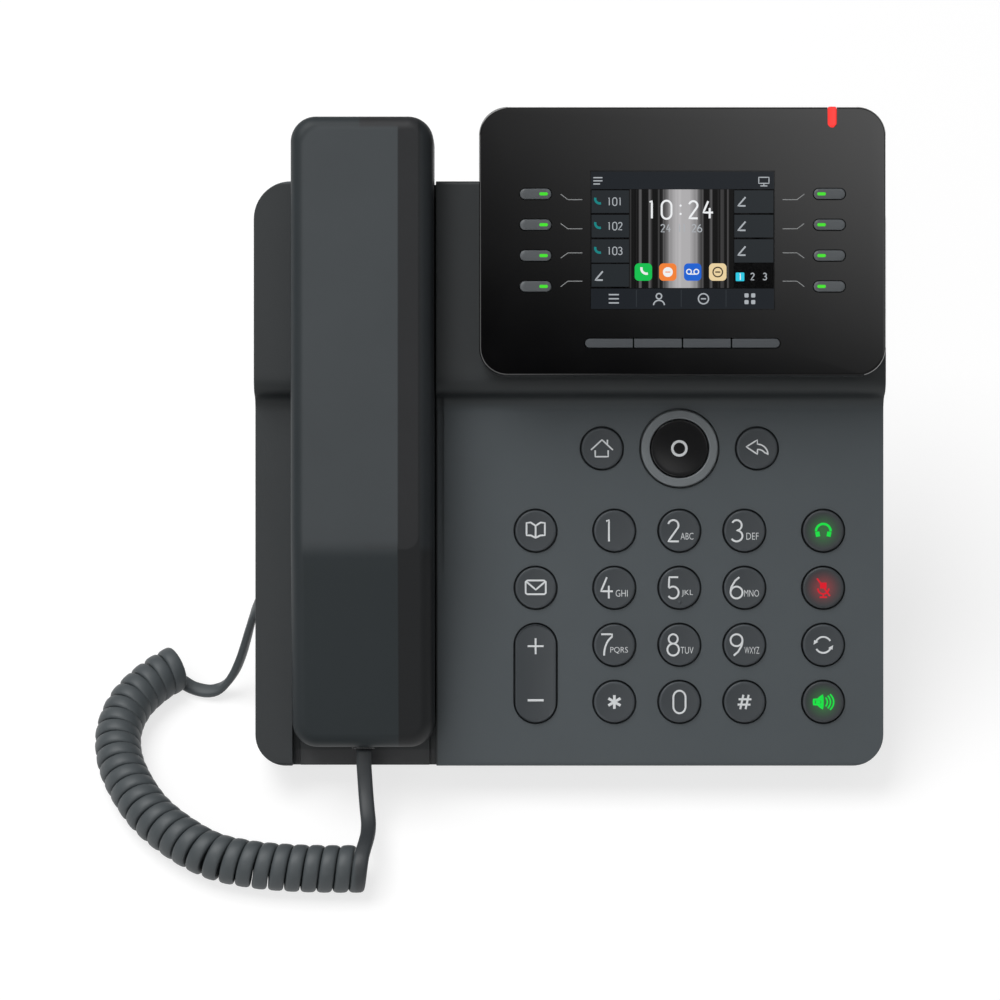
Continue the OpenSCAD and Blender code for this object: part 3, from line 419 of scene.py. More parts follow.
def moulded(name, colour, roughness, relief, grains=2600.0, mottle=0.07, wear=0.4,
            specular=0.5, metallic=0.0, coat=0.0, colour_rule=None, extra=None):
    """Moulded or sprayed finish: grain in the bump, soft mottling, rubbed edges and scuffs."""
    material, tree, shader = blank_material(name)
    grain = group_node(tree, GRAIN, {"Grains per metre": grains})
    worn = group_node(tree, WEAR, {"Amount": wear})
    # A colour rule paints shade and light by place on the face
    if colour_rule:
        light = colour_rule(tree, colour)
        dark = mixed_colour(tree, 2 * mottle, light, BLACK)
    else:
        light, dark = scaled_colour(colour, 1 + mottle), scaled_colour(colour, 1 - mottle)
    toned = mixed_colour(tree, grain.outputs["Tone"], dark, light)
    rubbed = mixed_colour(tree, worn.outputs["Rubbed"], toned, scaled_colour(colour, 2.1))
    scuffs = math_node(tree, "MULTIPLY", worn.outputs["Scuffed"], 0.25)
    swing = math_node(tree, "MULTIPLY_ADD", grain.outputs["Tone"], 0.12)
    swing.node.inputs[2].default_value = roughness - 0.06
    bump = add_node(tree, "ShaderNodeBump", {
        "Strength": relief, "Distance": 0.0004, "Height": grain.outputs["Height"]})
    feed(tree, shader, {
        "Base Color": rubbed, "Roughness": math_node(tree, "ADD", swing, scuffs, clamp=True),
        "Normal": bump.outputs["Normal"], "Specular IOR Level": specular,
        "Metallic": metallic, "Coat Weight": coat, "Coat Roughness": 0.04})
    if extra:
        extra(tree, shader)
    return material


def glowing(name, colour, strength=1.0, base=BLACK, flicker=0.12, roughness=0.3):
    """A lit print, lens or picture element, a little uneven as light through ink is."""
    material, tree, shader = blank_material(name)
    grain = group_node(tree, GRAIN, {"Grains per metre": 900.0})
    uneven = mixed_colour(tree, grain.outputs["Tone"], scaled_colour(colour, 1 - flicker),
                          scaled_colour(colour, 1 + flicker))
    feed(tree, shader, {"Emission Color": uneven, "Emission Strength": strength,
                        "Base Color": base, "Roughness": roughness, "Specular IOR Level": 0.3})
    return material


def lit_from_below(name, cap, light, centre, reach, strength):
    """A key cap's own finish, with light that fades away from the legend."""
    def add_light(tree, shader):
        away = add_node(tree, "ShaderNodeVectorMath", {0: object_place(tree), 1: tuple(centre)},
                        operation="DISTANCE").outputs["Value"]
        fade = ramp(tree, away, 0.0, reach * MM, 1.0, 0.0, "SMOOTHSTEP")
        feed(tree, shader, {"Emission Color": mixed_colour(tree, fade, BLACK, light),
                            "Emission Strength": strength})
    return moulded(name, cap, 0.45, 0.03, extra=add_light)


# ---- Finishes ----
BODY_GREY = srgb(79, 86, 90)
RAIL_GREY = srgb(50, 54, 56)
# Painted shade on the platform and the step under the display head; painted light on the cradle's
# low lip
PLATFORM_SHADE = srgb(44, 48, 50)
STEP_SHADE = srgb(32, 37, 39)
CRADLE_LIP_LIGHT = srgb(67, 68, 70)
KEY_GREY = srgb(61, 66, 70)
LIT_KEY_GREY = srgb(54, 58, 61)
HANDSET_PANEL = srgb(71, 76, 79)
# Painted shade: the handset's rounded sides and top rim, its right flank, its nose and the nose's
# flank are painted darker than the panel
HANDSET_SIDE_SHADE = srgb(46, 52, 55)
HANDSET_BAND = srgb(41, 42, 44)
HANDSET_FLANK_SHADE = srgb(34, 38, 41)
HANDSET_NOSE_SHADE = srgb(42, 49, 52)
NOSE_FLANK_SHADE = srgb(25, 27, 29)
JACKET_GREY = srgb(79, 85, 88)
# Painted shade: the straight lead's jacket, darker than the coil's
LEAD_SHADE = srgb(57, 61, 64)

# Where the painted shade, painted light and tones of the body, the handset and the cord meet, in
# the face frame
RAIL_EDGE_X = -42.1
STEP_LOW_V = 115.4
STEP_TOP_V = 124
PANEL_LOW_X = -84.3
SPLIT_X = -54.3
FLANK_X = -47.9
NOSE_V = 69.7
PANEL_TOP_V = 202.2
COIL_END_X = -67.5


def face_parts(tree):
    """X and V of the shaded point, in metres in the face frame."""
    place = object_place(tree)
    across = add_node(tree, "ShaderNodeSeparateXYZ", {0: place}).outputs["X"]
    along = add_node(tree, "ShaderNodeVectorMath", {
        0: place, 1: (0.0, cos(TILT), sin(TILT))}, operation="DOT_PRODUCT").outputs["Value"]
    foot = FACE_Y * cos(TILT) + FACE_Z * sin(TILT)
    return across, math_node(tree, "SUBTRACT", along, foot)


def past(tree, value, edge, soft):
    """0 before an edge given in millimetres, 1 past it, over a soft width."""
    return ramp(tree, value, (edge - soft / 2) * MM, (edge + soft / 2) * MM, kind="SMOOTHSTEP")


def rounded_field(tree, low_x, high_x, low_v, high_v, radius, soft):
    """1 inside a rectangle of the face with rounded corners, 0 past a soft edge round it."""
    across, along = face_parts(tree)
    reach = []
    for value, low, high in ((across, low_x, high_x), (along, low_v, high_v)):
        off = math_node(tree, "ABSOLUTE", math_node(tree, "SUBTRACT", value, (low + high) / 2 * MM))
        inner = ((high - low) / 2 - radius) * MM
        reach.append(math_node(tree, "MAXIMUM", math_node(tree, "SUBTRACT", off, inner), 0.0))
    corner = add_node(tree, "ShaderNodeCombineXYZ", {"X": reach[0], "Y": reach[1]}).outputs[0]
    far = add_node(tree, "ShaderNodeVectorMath", {0: corner}, operation="LENGTH").outputs["Value"]
    return math_node(tree, "SUBTRACT", 1.0, past(tree, far, radius, soft))


def handset_painted_shade(tree, colour):
    """The handset's back: a lighter panel and a dark band beside it, with painted shade on the
    rounded sides and top rim, the right flank and the nose, as where they turn away from the light.
    """
    across, along = face_parts(tree)
    back = past(tree, along, NOSE_V, 7)
    right = past(tree, across, SPLIT_X, 0.6)
    side = mixed_colour(tree, past(tree, across, PANEL_LOW_X, 3), HANDSET_SIDE_SHADE, mixed_colour(
        tree, back, HANDSET_NOSE_SHADE, HANDSET_SIDE_SHADE))
    flank_shade = mixed_colour(tree, past(tree, along, NOSE_V, 3), NOSE_FLANK_SHADE, HANDSET_FLANK_SHADE)
    base = mixed_colour(tree, past(tree, across, FLANK_X + 0.6, 1.2), mixed_colour(
        tree, right, side, NOSE_FLANK_SHADE), flank_shade)
    band = rounded_field(tree, SPLIT_X - 12, FLANK_X, NOSE_V, PANEL_TOP_V + 9, 4, 0.7)
    panel = rounded_field(tree, PANEL_LOW_X, SPLIT_X + 9, NOSE_V - 6, PANEL_TOP_V, 6, 1.6)
    panel = math_node(tree, "MULTIPLY", panel, math_node(tree, "SUBTRACT", back, right, clamp=True))
    return mixed_colour(tree, panel, mixed_colour(tree, band, base, HANDSET_BAND), colour)


def frame_painted_shade_and_light(tree, colour):
    """The keypad face is the lightest and the rail darker; the platform and the step between carry
    painted shade, the step darkest, as under the display head's shadow and where the step faces
    down; the cradle's low lip carries painted light, as where it faces up.
    """
    across, along = face_parts(tree)
    rail = math_node(tree, "SUBTRACT", 1.0, past(tree, across, RAIL_EDGE_X, 0.6))
    lip_light = rounded_field(tree, -88, RAIL_EDGE_X - 1, -8, 5, 1, 1)
    face = mixed_colour(tree, rail, colour, mixed_colour(tree, lip_light, RAIL_GREY, CRADLE_LIP_LIGHT))
    upper = past(tree, along, STEP_TOP_V, 5)
    step = mixed_colour(tree, upper, STEP_SHADE, PLATFORM_SHADE)
    return mixed_colour(tree, past(tree, along, STEP_LOW_V, 5.5), face, step)


def cord_painted_shade(tree, colour):
    """The jacket is painted a little darker on the straight lead to the handset: painted shade
    against the light on its top, where the coil shades itself.
    """
    across = face_parts(tree)[0]
    return mixed_colour(tree, past(tree, across, COIL_END_X, 2), colour, LEAD_SHADE)


# Each with its roughness and the relief of its grain
# The body's colour rule paints shade on the platform and the step, and light on the cradle's low
# lip
body_plastic = moulded("body_plastic", BODY_GREY, 0.55, 0.08, colour_rule=frame_painted_shade_and_light)
back_plastic = moulded("back_plastic", srgb(66, 70, 73), 0.6, 0.14, grains=1500.0)
# The handset's colour rule paints shade on its sides, top rim, flank and nose
handset_plastic = moulded("handset_plastic", HANDSET_PANEL, 0.5, 0.06, specular=0.3,
                          colour_rule=handset_painted_shade)
inner_plastic = moulded("handset_inner_plastic", srgb(62, 66, 69), 0.55, 0.1)
key_plastic = moulded("key_plastic", KEY_GREY, 0.45, 0.03)
ring_silver = moulded("ring_silver", srgb(117, 122, 125), 0.45, 0.02, metallic=0.1, wear=0.2)
ok_gloss = moulded("ok_gloss", srgb(35, 35, 36), 0.12, 0.004, wear=0.2, mottle=0.1)
bezel_gloss = moulded("bezel_gloss", srgb(7, 7, 8), 0.09, 0.002, wear=0.15, coat=0.6, mottle=0.1)
head_plastic = moulded("head_plastic", srgb(44, 46, 48), 0.55, 0.12, grains=1500.0)
head_key_plastic = moulded("head_key_plastic", srgb(84, 88, 91), 0.42, 0.02)
soft_key_plastic = moulded("soft_key_plastic", srgb(73, 77, 81), 0.42, 0.02)
print_white = moulded("print_white", srgb(232, 235, 237), 0.6, 0.02, wear=0.0, mottle=0.05)
print_grey = moulded("print_grey", srgb(150, 152, 153), 0.5, 0.02, wear=0.0)
rubber = moulded("rubber", srgb(30, 30, 31), 0.85, 0.25, grains=1200.0, specular=0.3)
socket_plastic = moulded("socket_plastic", srgb(26, 27, 28), 0.4, 0.03)
carrier_plastic = moulded("carrier_plastic", srgb(205, 204, 196), 0.5, 0.04)
silicone = moulded("silicone", srgb(150, 152, 153), 0.7, 0.06, specular=0.35)
board_green = moulded("circuit_board", srgb(18, 84, 50), 0.35, 0.05, grains=700.0, mottle=0.25)
steel = moulded("steel", srgb(176, 176, 178), 0.3, 0.02, metallic=1.0, mottle=0.12)
driver_metal = moulded("driver_metal", srgb(96, 96, 99), 0.4, 0.05, metallic=0.7)
# The cord's colour rule paints shade on the straight lead to the handset
cord_jacket = moulded("cord_jacket", JACKET_GREY, 0.5, 0.04, grains=1400.0, wear=0.0,
                      colour_rule=cord_painted_shade)
light_lens = glowing("light_lens", srgb(248, 60, 55), base=srgb(120, 10, 10), roughness=0.15)
led_green = glowing("led_green", srgb(70, 225, 45))
legend_green = glowing("legend_green", srgb(20, 225, 70))
legend_red = glowing("legend_red", srgb(215, 22, 40))


def clear_plastic():
    """Smoky clear plastic of the modular plugs."""
    material, tree, shader = blank_material("plug_plastic")
    grain = group_node(tree, GRAIN, {"Grains per metre": 900.0})
    tint = mixed_colour(tree, grain.outputs["Tone"], srgb(58, 61, 64), srgb(76, 79, 82))
    feed(tree, shader, {"Base Color": tint, "Transmission Weight": 0.6, "Roughness": 0.12,
                        "IOR": 1.49})
    return material


plug_plastic = clear_plastic()

# ---- The curly cord ----
# The route, in millimetres, with Y from the lower edge of the face
HANDSET_LEAD = [
    (-65.6, 1, 21), (-65.6, -2, 18), (-65.3, -5.5, 14.8), (-64.9, -10, 12), (-64.4, -15, 10.4),
    (-63.9, -20, 10), (-63.9, -25, 10.9), (-64.3, -29.5, 12.5), (-64.9, -33.5, 13.5)]
COIL_LINE = [
    (-65.5, -37, 7.6), (-77, -37, 7.6), (-89, -36.5, 7.6), (-101, -35, 7.6), (-113, -31.5, 7.6),
    (-124, -24, 7.6), (-133.5, -14.5, 7.6), (-140.5, -3, 7.6), (-145, 9, 7.6), (-146, 21, 7.6),
    (-143, 32.5, 7.6), (-136.5, 42, 7.6), (-128.5, 49, 7.6)]
BASE_LEAD = [
    (-123.8, 44.9, 1.9), (-118, 42.9, 2.4), (-113.5, 43.5, 4.2),
    (-110, 45, 8.5), (-107.5, 46.8, 14), (-105.5, 48.3, 20.5), (-103.8, 49.4, 27),
    (-102, 50.3, 33), (-99.5, 51.2, 38), (-96, 51.9, 41.8), (-90.6, 52.1, 42.7)]
COIL_R = 6.2
TURNS = 29.5
RINGS_PER_TURN = 22
JACKET_W = 4.8
JACKET_T = 2.6
JACKET_SIDES = 16


def desk_points(route):
    return [Vector((x, y + FACE_Y / MM, z)) * MM for x, y, z in route]


def flowing(points, steps):
    """A smooth line through the points, each stretch in so many steps."""
    ends = [2 * points[0] - points[1], *points, 2 * points[-1] - points[-2]]
    line = []
    for i in range(1, len(ends) - 2):
        a, b, c, d = ends[i - 1:i + 3]
        for k in range(steps):
            t = k / steps
            line.append(0.5 * (2 * b + (c - a) * t + (2 * a - 5 * b + 4 * c - d) * t * t
                               + (3 * b - a - 3 * c + d) * t * t * t))
    line.append(points[-1].copy())
    return line


def evenly(line, count):
    """The same line at evenly spaced points."""
    far = [0.0]
    for a, b in zip(line, line[1:]):
        far.append(far[-1] + (b - a).length)
    even, i = [], 0
    for k in range(count + 1):
        want = far[-1] * k / count
        while i < len(line) - 2 and far[i + 1] < want:
            i += 1
        share = (want - far[i]) / max(far[i + 1] - far[i], 1e-12)
        even.append(line[i].lerp(line[i + 1], share))
    return even


def make_cord():
    up = Vector((0, 0, 1))
    axis = evenly(flowing(desk_points(COIL_LINE), 24), int(TURNS * RINGS_PER_TURN))
    coil, coil_wide = [], []
    for i, centre in enumerate(axis):
        along = (axis[min(i + 1, len(axis) - 1)] - axis[max(i - 1, 0)]).normalized()
        across = along.cross(up).normalized()
        turn = 2 * pi * i / RINGS_PER_TURN
        coil.append(centre + COIL_R * MM * (cos(turn) * up - sin(turn) * across))
        coil_wide.append(-along)
    lead = flowing(desk_points(HANDSET_LEAD) + [coil[0]], 4)[:-1]
    tail = flowing([coil[-1]] + desk_points(BASE_LEAD), 4)[1:]
    lead_wide = [Vector((1, 0, 0))] * len(lead)
    plug_wide = Vector((0, -sin(TILT), -cos(TILT)))
    tail_wide = [coil_wide[-1].lerp(plug_wide, (i + 1) / len(tail)) for i in range(len(tail))]
    line = lead + coil + tail
    wide = lead_wide + coil_wide + tail_wide
    verts, faces = [], []
    for i, centre in enumerate(line):
        ahead = (line[min(i + 1, len(line) - 1)] - line[max(i - 1, 0)]).normalized()
        side = (wide[i] - wide[i].dot(ahead) * ahead).normalized()
        thick = ahead.cross(side)
        for k in range(JACKET_SIDES):
            angle = 2 * pi * k / JACKET_SIDES
            c, s = cos(angle), sin(angle)
            flat = abs(c) ** 0.6 * (1 if c > 0 else -1) * JACKET_W / 2 * MM
            proud = abs(s) ** 0.8 * (1 if s > 0 else -1) * JACKET_T / 2 * MM
            verts.append(centre + flat * side + proud * thick)
    for i in range(len(line) - 1):
        for k in range(JACKET_SIDES):
            a, b = i * JACKET_SIDES + k, i * JACKET_SIDES + (k + 1) % JACKET_SIDES
            faces.append((a, b, b + JACKET_SIDES, a + JACKET_SIDES))
    faces.append(tuple(reversed(range(JACKET_SIDES))))
    last = (len(line) - 1) * JACKET_SIDES
    faces.append(tuple(range(last, last + JACKET_SIDES)))
    mesh = bpy.data.meshes.new("curly_cord")
    mesh.from_pydata(verts, [], faces)
    cord = new_object("curly_cord", mesh)
    turn_outwards(cord)
    pick(cord)
    bpy.ops.object.shade_smooth()
    finished_with(cord, cord_jacket)
    length = sum((b - a).length for a, b in zip(line, line[1:]))
    return cord, line, length


cord, cord_line, cord_length = make_cord()
handset_plug, base_plug = [dressed(node, body, "plug_plastic", plug_plastic, 0.35, 30)
                           for node, body in (("handset_plug", "handset"), ("base_plug", "root"))]
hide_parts("handset_lead", "base_lead", "cord_coil")
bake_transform(cord)


# ---- Printed legends ----
def bow(x, v, rx, ry, start, stop, steps=20):
    """Points along an arc, by angles in degrees."""
    turn = [radians(start + (stop - start) * i / steps) for i in range(steps + 1)]
    return [(x + rx * cos(a), v + ry * sin(a)) for a in turn]


DIGITS = {
    "1": [[(-0.95, 3.05), (-0.05, 3.4), (-0.05, -3.4)]],
    "2": [bow(0, 1.75, 1.65, 1.65, 165, -30) + [(-1.65, -3.4), (1.75, -3.4)]],
    "3": [bow(-0.1, 1.75, 1.6, 1.65, 150, -90) + bow(-0.1, -1.65, 1.85, 1.75, 90, -150)],
    "4": [[(0.1, 3.4), (-1.8, -1.1), (2.0, -1.1)], [(0.7, 0.7), (0.7, -3.4)]],
    "5": [[(1.55, 3.4), (-1.3, 3.4), (-1.45, 0.3)] + bow(-0.1, -1.5, 1.8, 1.9, 130, -145)],
    "6": [[(0.9, 3.4), (-0.5, 2.2)] + bow(0, -1.45, 1.9, 3.2, 140, 180, 8)
          + bow(0, -1.5, 1.9, 1.9, 180, 540, 36)],
    "7": [[(-1.75, 3.4), (1.75, 3.4)] + bow(3.2, -3.4, 4.0, 6.4, 112, 180, 12)],
    "8": [bow(0, 1.9, 1.45, 1.5, -90, 270, 32), bow(0, -1.5, 1.85, 1.9, 90, 450, 36)],
    "9": [[(-0.9, -3.4), (0.5, -2.2)] + bow(0, 1.45, 1.9, 3.2, -40, 0, 8)
          + bow(0, 1.5, 1.9, 1.9, 0, 360, 36)],
    "0": [bow(0, 1.4, 1.95, 2.2, 0, 180) + bow(0, -1.4, 1.95, 2.2, 180, 360)
          + [(1.95, 1.4)]],
}


def finely(points, step=0.7):
    """The same polyline with its long stretches divided, so that it can follow a dish."""
    line = [points[0]]
    for a, b in zip(points, points[1:]):
        parts = max(1, int(dist(a, b) / step))
        for k in range(1, parts + 1):
            line.append((a[0] + (b[0] - a[0]) * k / parts, a[1] + (b[1] - a[1]) * k / parts))
    return line


INK_T = 0.03


def as_mesh(name, curve):
    """The mesh of a curve or of characters, picked."""
    pick(new_object(name, curve))
    bpy.ops.object.convert(target="MESH")
    return bpy.context.object


def inked(name, strokes, width, material, x=0, v=0, surface=lambda x, v: 0, thick=INK_T):
    """Printed strokes: round lines pressed flat on a surface."""
    curve = bpy.data.curves.new(name, "CURVE")
    curve.dimensions = "3D"
    curve.bevel_depth = width / 2 * MM
    curve.bevel_resolution = 2
    curve.use_fill_caps = True
    for stroke in strokes:
        points = finely(stroke)
        ring = len(points) > 3 and dist(points[0], points[-1]) < 1e-6
        if ring:
            points = points[:-1]
        line = curve.splines.new("POLY")
        line.points.add(len(points) - 1)
        line.use_cyclic_u = ring
        for point, (a, b) in zip(line.points, points):
            point.co = ((a + x) * MM, (b + v) * MM, 0, 1)
    obj = as_mesh(name, curve)
    press = thick / width
    shaped(obj, lambda a, b, c: (a, b, surface(a, b) + c * press + thick / 3))
    return finished_with(obj, material)


def lettered(name, body, height, material, x, v, width, surface, weight):
    """Printed characters of that height, pressed to a width, on a surface; x is their left."""
    data = bpy.data.curves.new(name, "FONT")
    data.body = body
    data.size = 10 * MM
    data.extrude = 0.1 * MM
    data.offset = weight * MM
    data.resolution_u = 3
    obj = as_mesh(name, data)
    edit(obj)
    bpy.ops.mesh.remove_doubles(threshold=1e-6)
    bpy.ops.mesh.normals_make_consistent(inside=False)
    done()
    xs = [p.co.x / MM for p in obj.data.vertices]
    vs = [p.co.y / MM for p in obj.data.vertices]
    tall = height / (max(vs) - min(vs))
    wide = width / (max(xs) - min(xs))
    shaped(obj, lambda a, b, c: (x + (a - min(xs)) * wide, v + (b - min(vs)) * tall, c))
    shaped(obj, lambda a, b, c: (a, b, surface(a, b) + INK_T / 3 + (INK_T / 2 if c > 0 else 0)))
    return finished_with(obj, material)


# ---- Round keys ----
KEY_D = 13.1
KEY_R = KEY_D / 2
KEY_RISE = 1.0
KEY_RINGS = (5.6, 4.8, 3.8, 2.6, 1.3)
DISH_R = KEY_D * 4.6
DISH_DEPTH = KEY_D * 0.024
FLANGE_TOP = -2.7
FLANGE_T = 1.2
FLANGE_LIP = 1.2
STEM_R = 3
STEM_END = -6.9


def dish(x, v):
    """Height of a round key's hollow top."""
    return KEY_RISE - DISH_DEPTH + (x * x + v * v) / (2 * DISH_R)


def key_side(flange, edge):
    """Profile of a key from its flange up its side and over its edge, whose shoulder is given."""
    return [(KEY_R + FLANGE_LIP, flange - FLANGE_T), (KEY_R + FLANGE_LIP, flange),
            (KEY_R, flange), (KEY_R, KEY_RISE - edge[0]), (KEY_R - 0.05, KEY_RISE - edge[1]),
            (KEY_R - 0.17, KEY_RISE - edge[2]), (KEY_R - 0.36, KEY_RISE)]


def make_round_cap():
    profile = [(STEM_R, STEM_END), (STEM_R, FLANGE_TOP - FLANGE_T)]
    profile += key_side(FLANGE_TOP, (0.42, 0.22, 0.07))
    profile += [(r, dish(r, 0)) for r in KEY_RINGS + (0,)]
    cap = grown("round_cap", profile, 72)
    return finished_with(smoothed(cap, 40), key_plastic)


# Each digit's place across, and its letters with their place and width
DIGIT_PRINT = {
    "1": (-1.7, "", 0, 0), "2": (-1.95, "ABC", 0.35, 4.1), "3": (-2.4, "DEF", 0.6, 3.9),
    "4": (-2.5, "GHI", 0.4, 3.8), "5": (-1.95, "JKL", 0.7, 3.6), "6": (-2.55, "MNO", -0.1, 4.7),
    "7": (-2.5, "PQRS", -1.3, 5.6), "8": (-2.0, "TUV", 0.35, 4.1),
    "9": (-2.55, "WXYZ", 0.0, 4.7), "0": (0.0, "", 0, 0)}
LETTERS_LOW = -2.8
LETTERS_H = 2.15
LETTERS_THINNER = -0.12
DIGIT_STROKE = 0.62

HOUSE = [[(-3.5, -0.5), (0, 2.75), (3.5, -0.5)], [(1.75, 1.35), (1.75, 2.8)],
         [(-2.15, -0.6), (-2.15, -2.65), (2.0, -2.65), (2.0, -0.6)]]
RETURN_ARROW = [[(-3.45, 0.5), (0.1, 2.7), (0.1, 1.4)] + bow(0.1, -2.0, 3.4, 3.35, 78, 0, 10)
                + [(2.9, -1.5)] + bow(0.1, -2.2, 2.6, 1.9, 25, 88, 6)
                + [(0.1, -1.85), (-3.45, 0.5)]]
OPEN_BOOK = [[(-2.9, 2.5), (-1.6, 2.65), (0, 1.6), (1.6, 2.65), (2.95, 2.5), (2.95, -1.45),
              (1.5, -1.5), (0, -2.25), (-1.5, -1.5), (-2.9, -1.45), (-2.9, 2.5)],
             [(0, 1.6), (0, -2.25)]]
ENVELOPE = [[(-2.6, 2.35), (2.7, 2.35), (3.25, 1.9), (3.25, -1.6), (2.8, -2.05), (-2.7, -2.05),
             (-3.2, -1.6), (-3.2, 1.9), (-2.6, 2.35)], [(-2.9, 1.9), (0.05, -0.6), (2.95, 1.9)]]
TURN_ARROWS = [bow(0, 0, 2.55, 2.55, 30, 165), bow(0, 0, 2.55, 2.55, 210, 345)]
TURN_HEADS = [[(-2.95, 0.35), (-2.75, 1.25), (-1.9, 0.95), (-2.95, 0.35)],
              [(2.95, -0.35), (2.75, -1.25), (1.9, -0.95), (2.95, -0.35)]]
HEADPHONES = [bow(0, -0.2, 2.35, 2.4, 0, 180)]
EAR_PADS = [[(-1.95, -0.3), (-1.65, -1.85)], [(1.95, -0.3), (1.65, -1.85)]]
MICROPHONE = [[(0, 1.7), (0, -0.2)]]
MICROPHONE_STAND = [bow(0, -0.2, 1.75, 1.75, 180, 360), [(0, -1.95), (0, -2.9)],
                    [(-1.2, -3.0), (1.2, -3.0)], [(-2.0, 3.0), (2.1, -2.6)]]
SPEAKER_CONE = [[(-3.0, 0.75), (-1.7, 0.75), (-0.3, 2.1), (-0.3, -2.1), (-1.7, -0.75),
                 (-3.0, -0.75), (-3.0, 0.75)], [(-2.4, 0), (-0.9, 0)], [(-1.3, 0.5), (-0.7, 1.0)],
                [(-1.3, -0.5), (-0.7, -1.0)]]
SPEAKER_WAVES = [bow(-1.2, 0, 2.5, 2.2, -40, 40, 8), bow(-1.2, 0, 3.5, 3.0, -42, 42, 10),
                 bow(-1.2, 0, 4.5, 3.7, -42, 42, 12)]
STAR = [[(0, 2.2), (0, -2.2)], [(-1.95, 1.15), (1.95, -1.15)], [(1.95, 1.15), (-1.95, -1.15)]]
HASH = [[(-0.35, 2.3), (-1.35, -2.3)], [(1.35, 2.3), (0.35, -2.3)], [(-1.9, 0.85), (2.2, 0.85)],
        [(-2.2, -0.85), (1.9, -0.85)]]


def printed_legends(name):
    """The legend meshes of a round key, about its own centre."""
    digit = name[4:]
    if digit in DIGIT_PRINT:
        place, letters, letters_x, letters_w = DIGIT_PRINT[digit]
        marks = [inked("digit", DIGITS[digit], DIGIT_STROKE, print_white, place, 0, dish)]
        if letters:
            marks.append(lettered("letters", letters, LETTERS_H, print_white, letters_x,
                                  LETTERS_LOW, letters_w, dish, LETTERS_THINNER))
        return marks
    drawn = {
        "key_star": [(STAR, 0.9)], "key_hash": [(HASH, 0.68)], "home_key": [(HOUSE, 0.5)],
        "back_key": [(RETURN_ARROW, 0.5)], "phonebook_key": [(OPEN_BOOK, 0.6)],
        "message_key": [(ENVELOPE, 0.58)],
        "redial_key": [(TURN_ARROWS, 0.6), (TURN_HEADS, 0.7)],
        "headset_key": [(HEADPHONES, 0.75), (EAR_PADS, 1.35)],
        "mute_key": [(MICROPHONE, 2.1), (MICROPHONE_STAND, 0.5)],
        "speaker_key": [(SPEAKER_CONE, 0.8), (SPEAKER_WAVES, 0.5)],
    }
    ink = LIT_KEYS[name][0] if name in LIT_KEYS else print_white
    return [inked("icon", strokes, width, ink, 0, 0, dish) for strokes, width in drawn[name]]


ROUND_KEYS = ["key_" + k for k in "123456789"] + [
    "key_star", "key_0", "key_hash", "headset_key", "mute_key", "redial_key", "speaker_key",
    "phonebook_key", "message_key", "home_key", "back_key"]
# The legend's ink, the light under the cap and its strength
LIT_KEYS = {"headset_key": (legend_green, srgb(10, 190, 30), 0.2),
            "mute_key": (legend_red, srgb(220, 24, 34), 0.24),
            "speaker_key": (legend_green, srgb(10, 190, 30), 0.2)}
LIGHT_W = 0.8
LIGHT_REACH = 6.2
NIB_V = -4.6


def make_round_keys():
    round_cap = make_round_cap()
    for key in ROUND_KEYS:
        cap = copied(round_cap, key + "_cap")
        if key in LIT_KEYS:
            light, strength = LIT_KEYS[key][1:]
            centre = on_face(*face_middle(key), LIGHT_W)
            finished_with(cap, lit_from_below(key + "_lit_cap", LIT_KEY_GREY, light, centre,
                                              LIGHT_REACH, strength))
        if key == "key_5":
            nib = grown("nib", [(0.6, 0.65), (0.58, 0.95), (0.5, 1.08), (0.32, 1.15)], 24)
            finished_with(nib, key_plastic)
            joined(cap, shifted(smoothed(nib, 60), 0, NIB_V))
        joined(cap, *printed_legends(key))
        seated(cap, key, "key_plastic")
    bpy.data.objects.remove(round_cap)


make_round_keys()

# ---- Volume rocker ----
VOLUME_LEN = 31.35
VOLUME_FLANGE = FLANGE_TOP - 0.6
VOLUME_STEM_V = 9.125
TROUGH_R = 44
TROUGH_LOW = 0.5
ROCKER_TOP_FROM = 0.95


def trough(x, v):
    """Height of the rocker's hollow top."""
    return TROUGH_LOW + x * x / (2 * TROUGH_R)


def make_volume_rocker():
    profile = key_side(VOLUME_FLANGE, (0.45, 0.24, 0.08))
    profile += [(r, KEY_RISE) for r in KEY_RINGS + (0.3,)]
    rocker = grown("volume_rocker_cap", profile, 72, (0, VOLUME_LEN - KEY_D))
    edit(rocker, "DESELECT")
    select_points(rocker, lambda co: co.z > ROCKER_TOP_FROM * MM)
    for cut in (-6, -3, 0, 3, 6):
        bpy.ops.mesh.bisect(plane_co=(0, cut * MM, 0), plane_no=(0, 1, 0))
        select_points(rocker, lambda co: co.z > ROCKER_TOP_FROM * MM)
    done()
    shaped(rocker, lambda a, b, w: (
        a, b, trough(a, b) if w > ROCKER_TOP_FROM and abs(a) < KEY_R - 0.15 else w))
    finished_with(smoothed(rocker, 40), key_plastic)
    plus = [[(-2.55, 8.7), (2.55, 8.7)], [(0, 6.15), (0, 11.25)]]
    minus = [[(-2.55, -8.6), (2.55, -8.6)]]
    joined(rocker, inked("plus", plus, 0.62, print_white, surface=trough),
           inked("minus", minus, 0.75, print_white, surface=trough))
    for side in (-1, 1):
        stem = grown("stem", [(STEM_R, STEM_END), (STEM_R, VOLUME_FLANGE - 1.1)], 32)
        finished_with(stem, key_plastic)
        joined(rocker, shifted(stem, 0, side * VOLUME_STEM_V))
    seated(rocker, "volume_rocker", "key_plastic")


make_volume_rocker()


# ---- Navigation ring and select key ----
RING_BORE = 9.5
RING_R = 12.3
RING_RISE = 1.2
RING_FLANGE = -3.2
RING_LOW = -4.5
SELECT_R = 9.1
SELECT_RISE = 0.3
SELECT_HOLLOW_R = 120


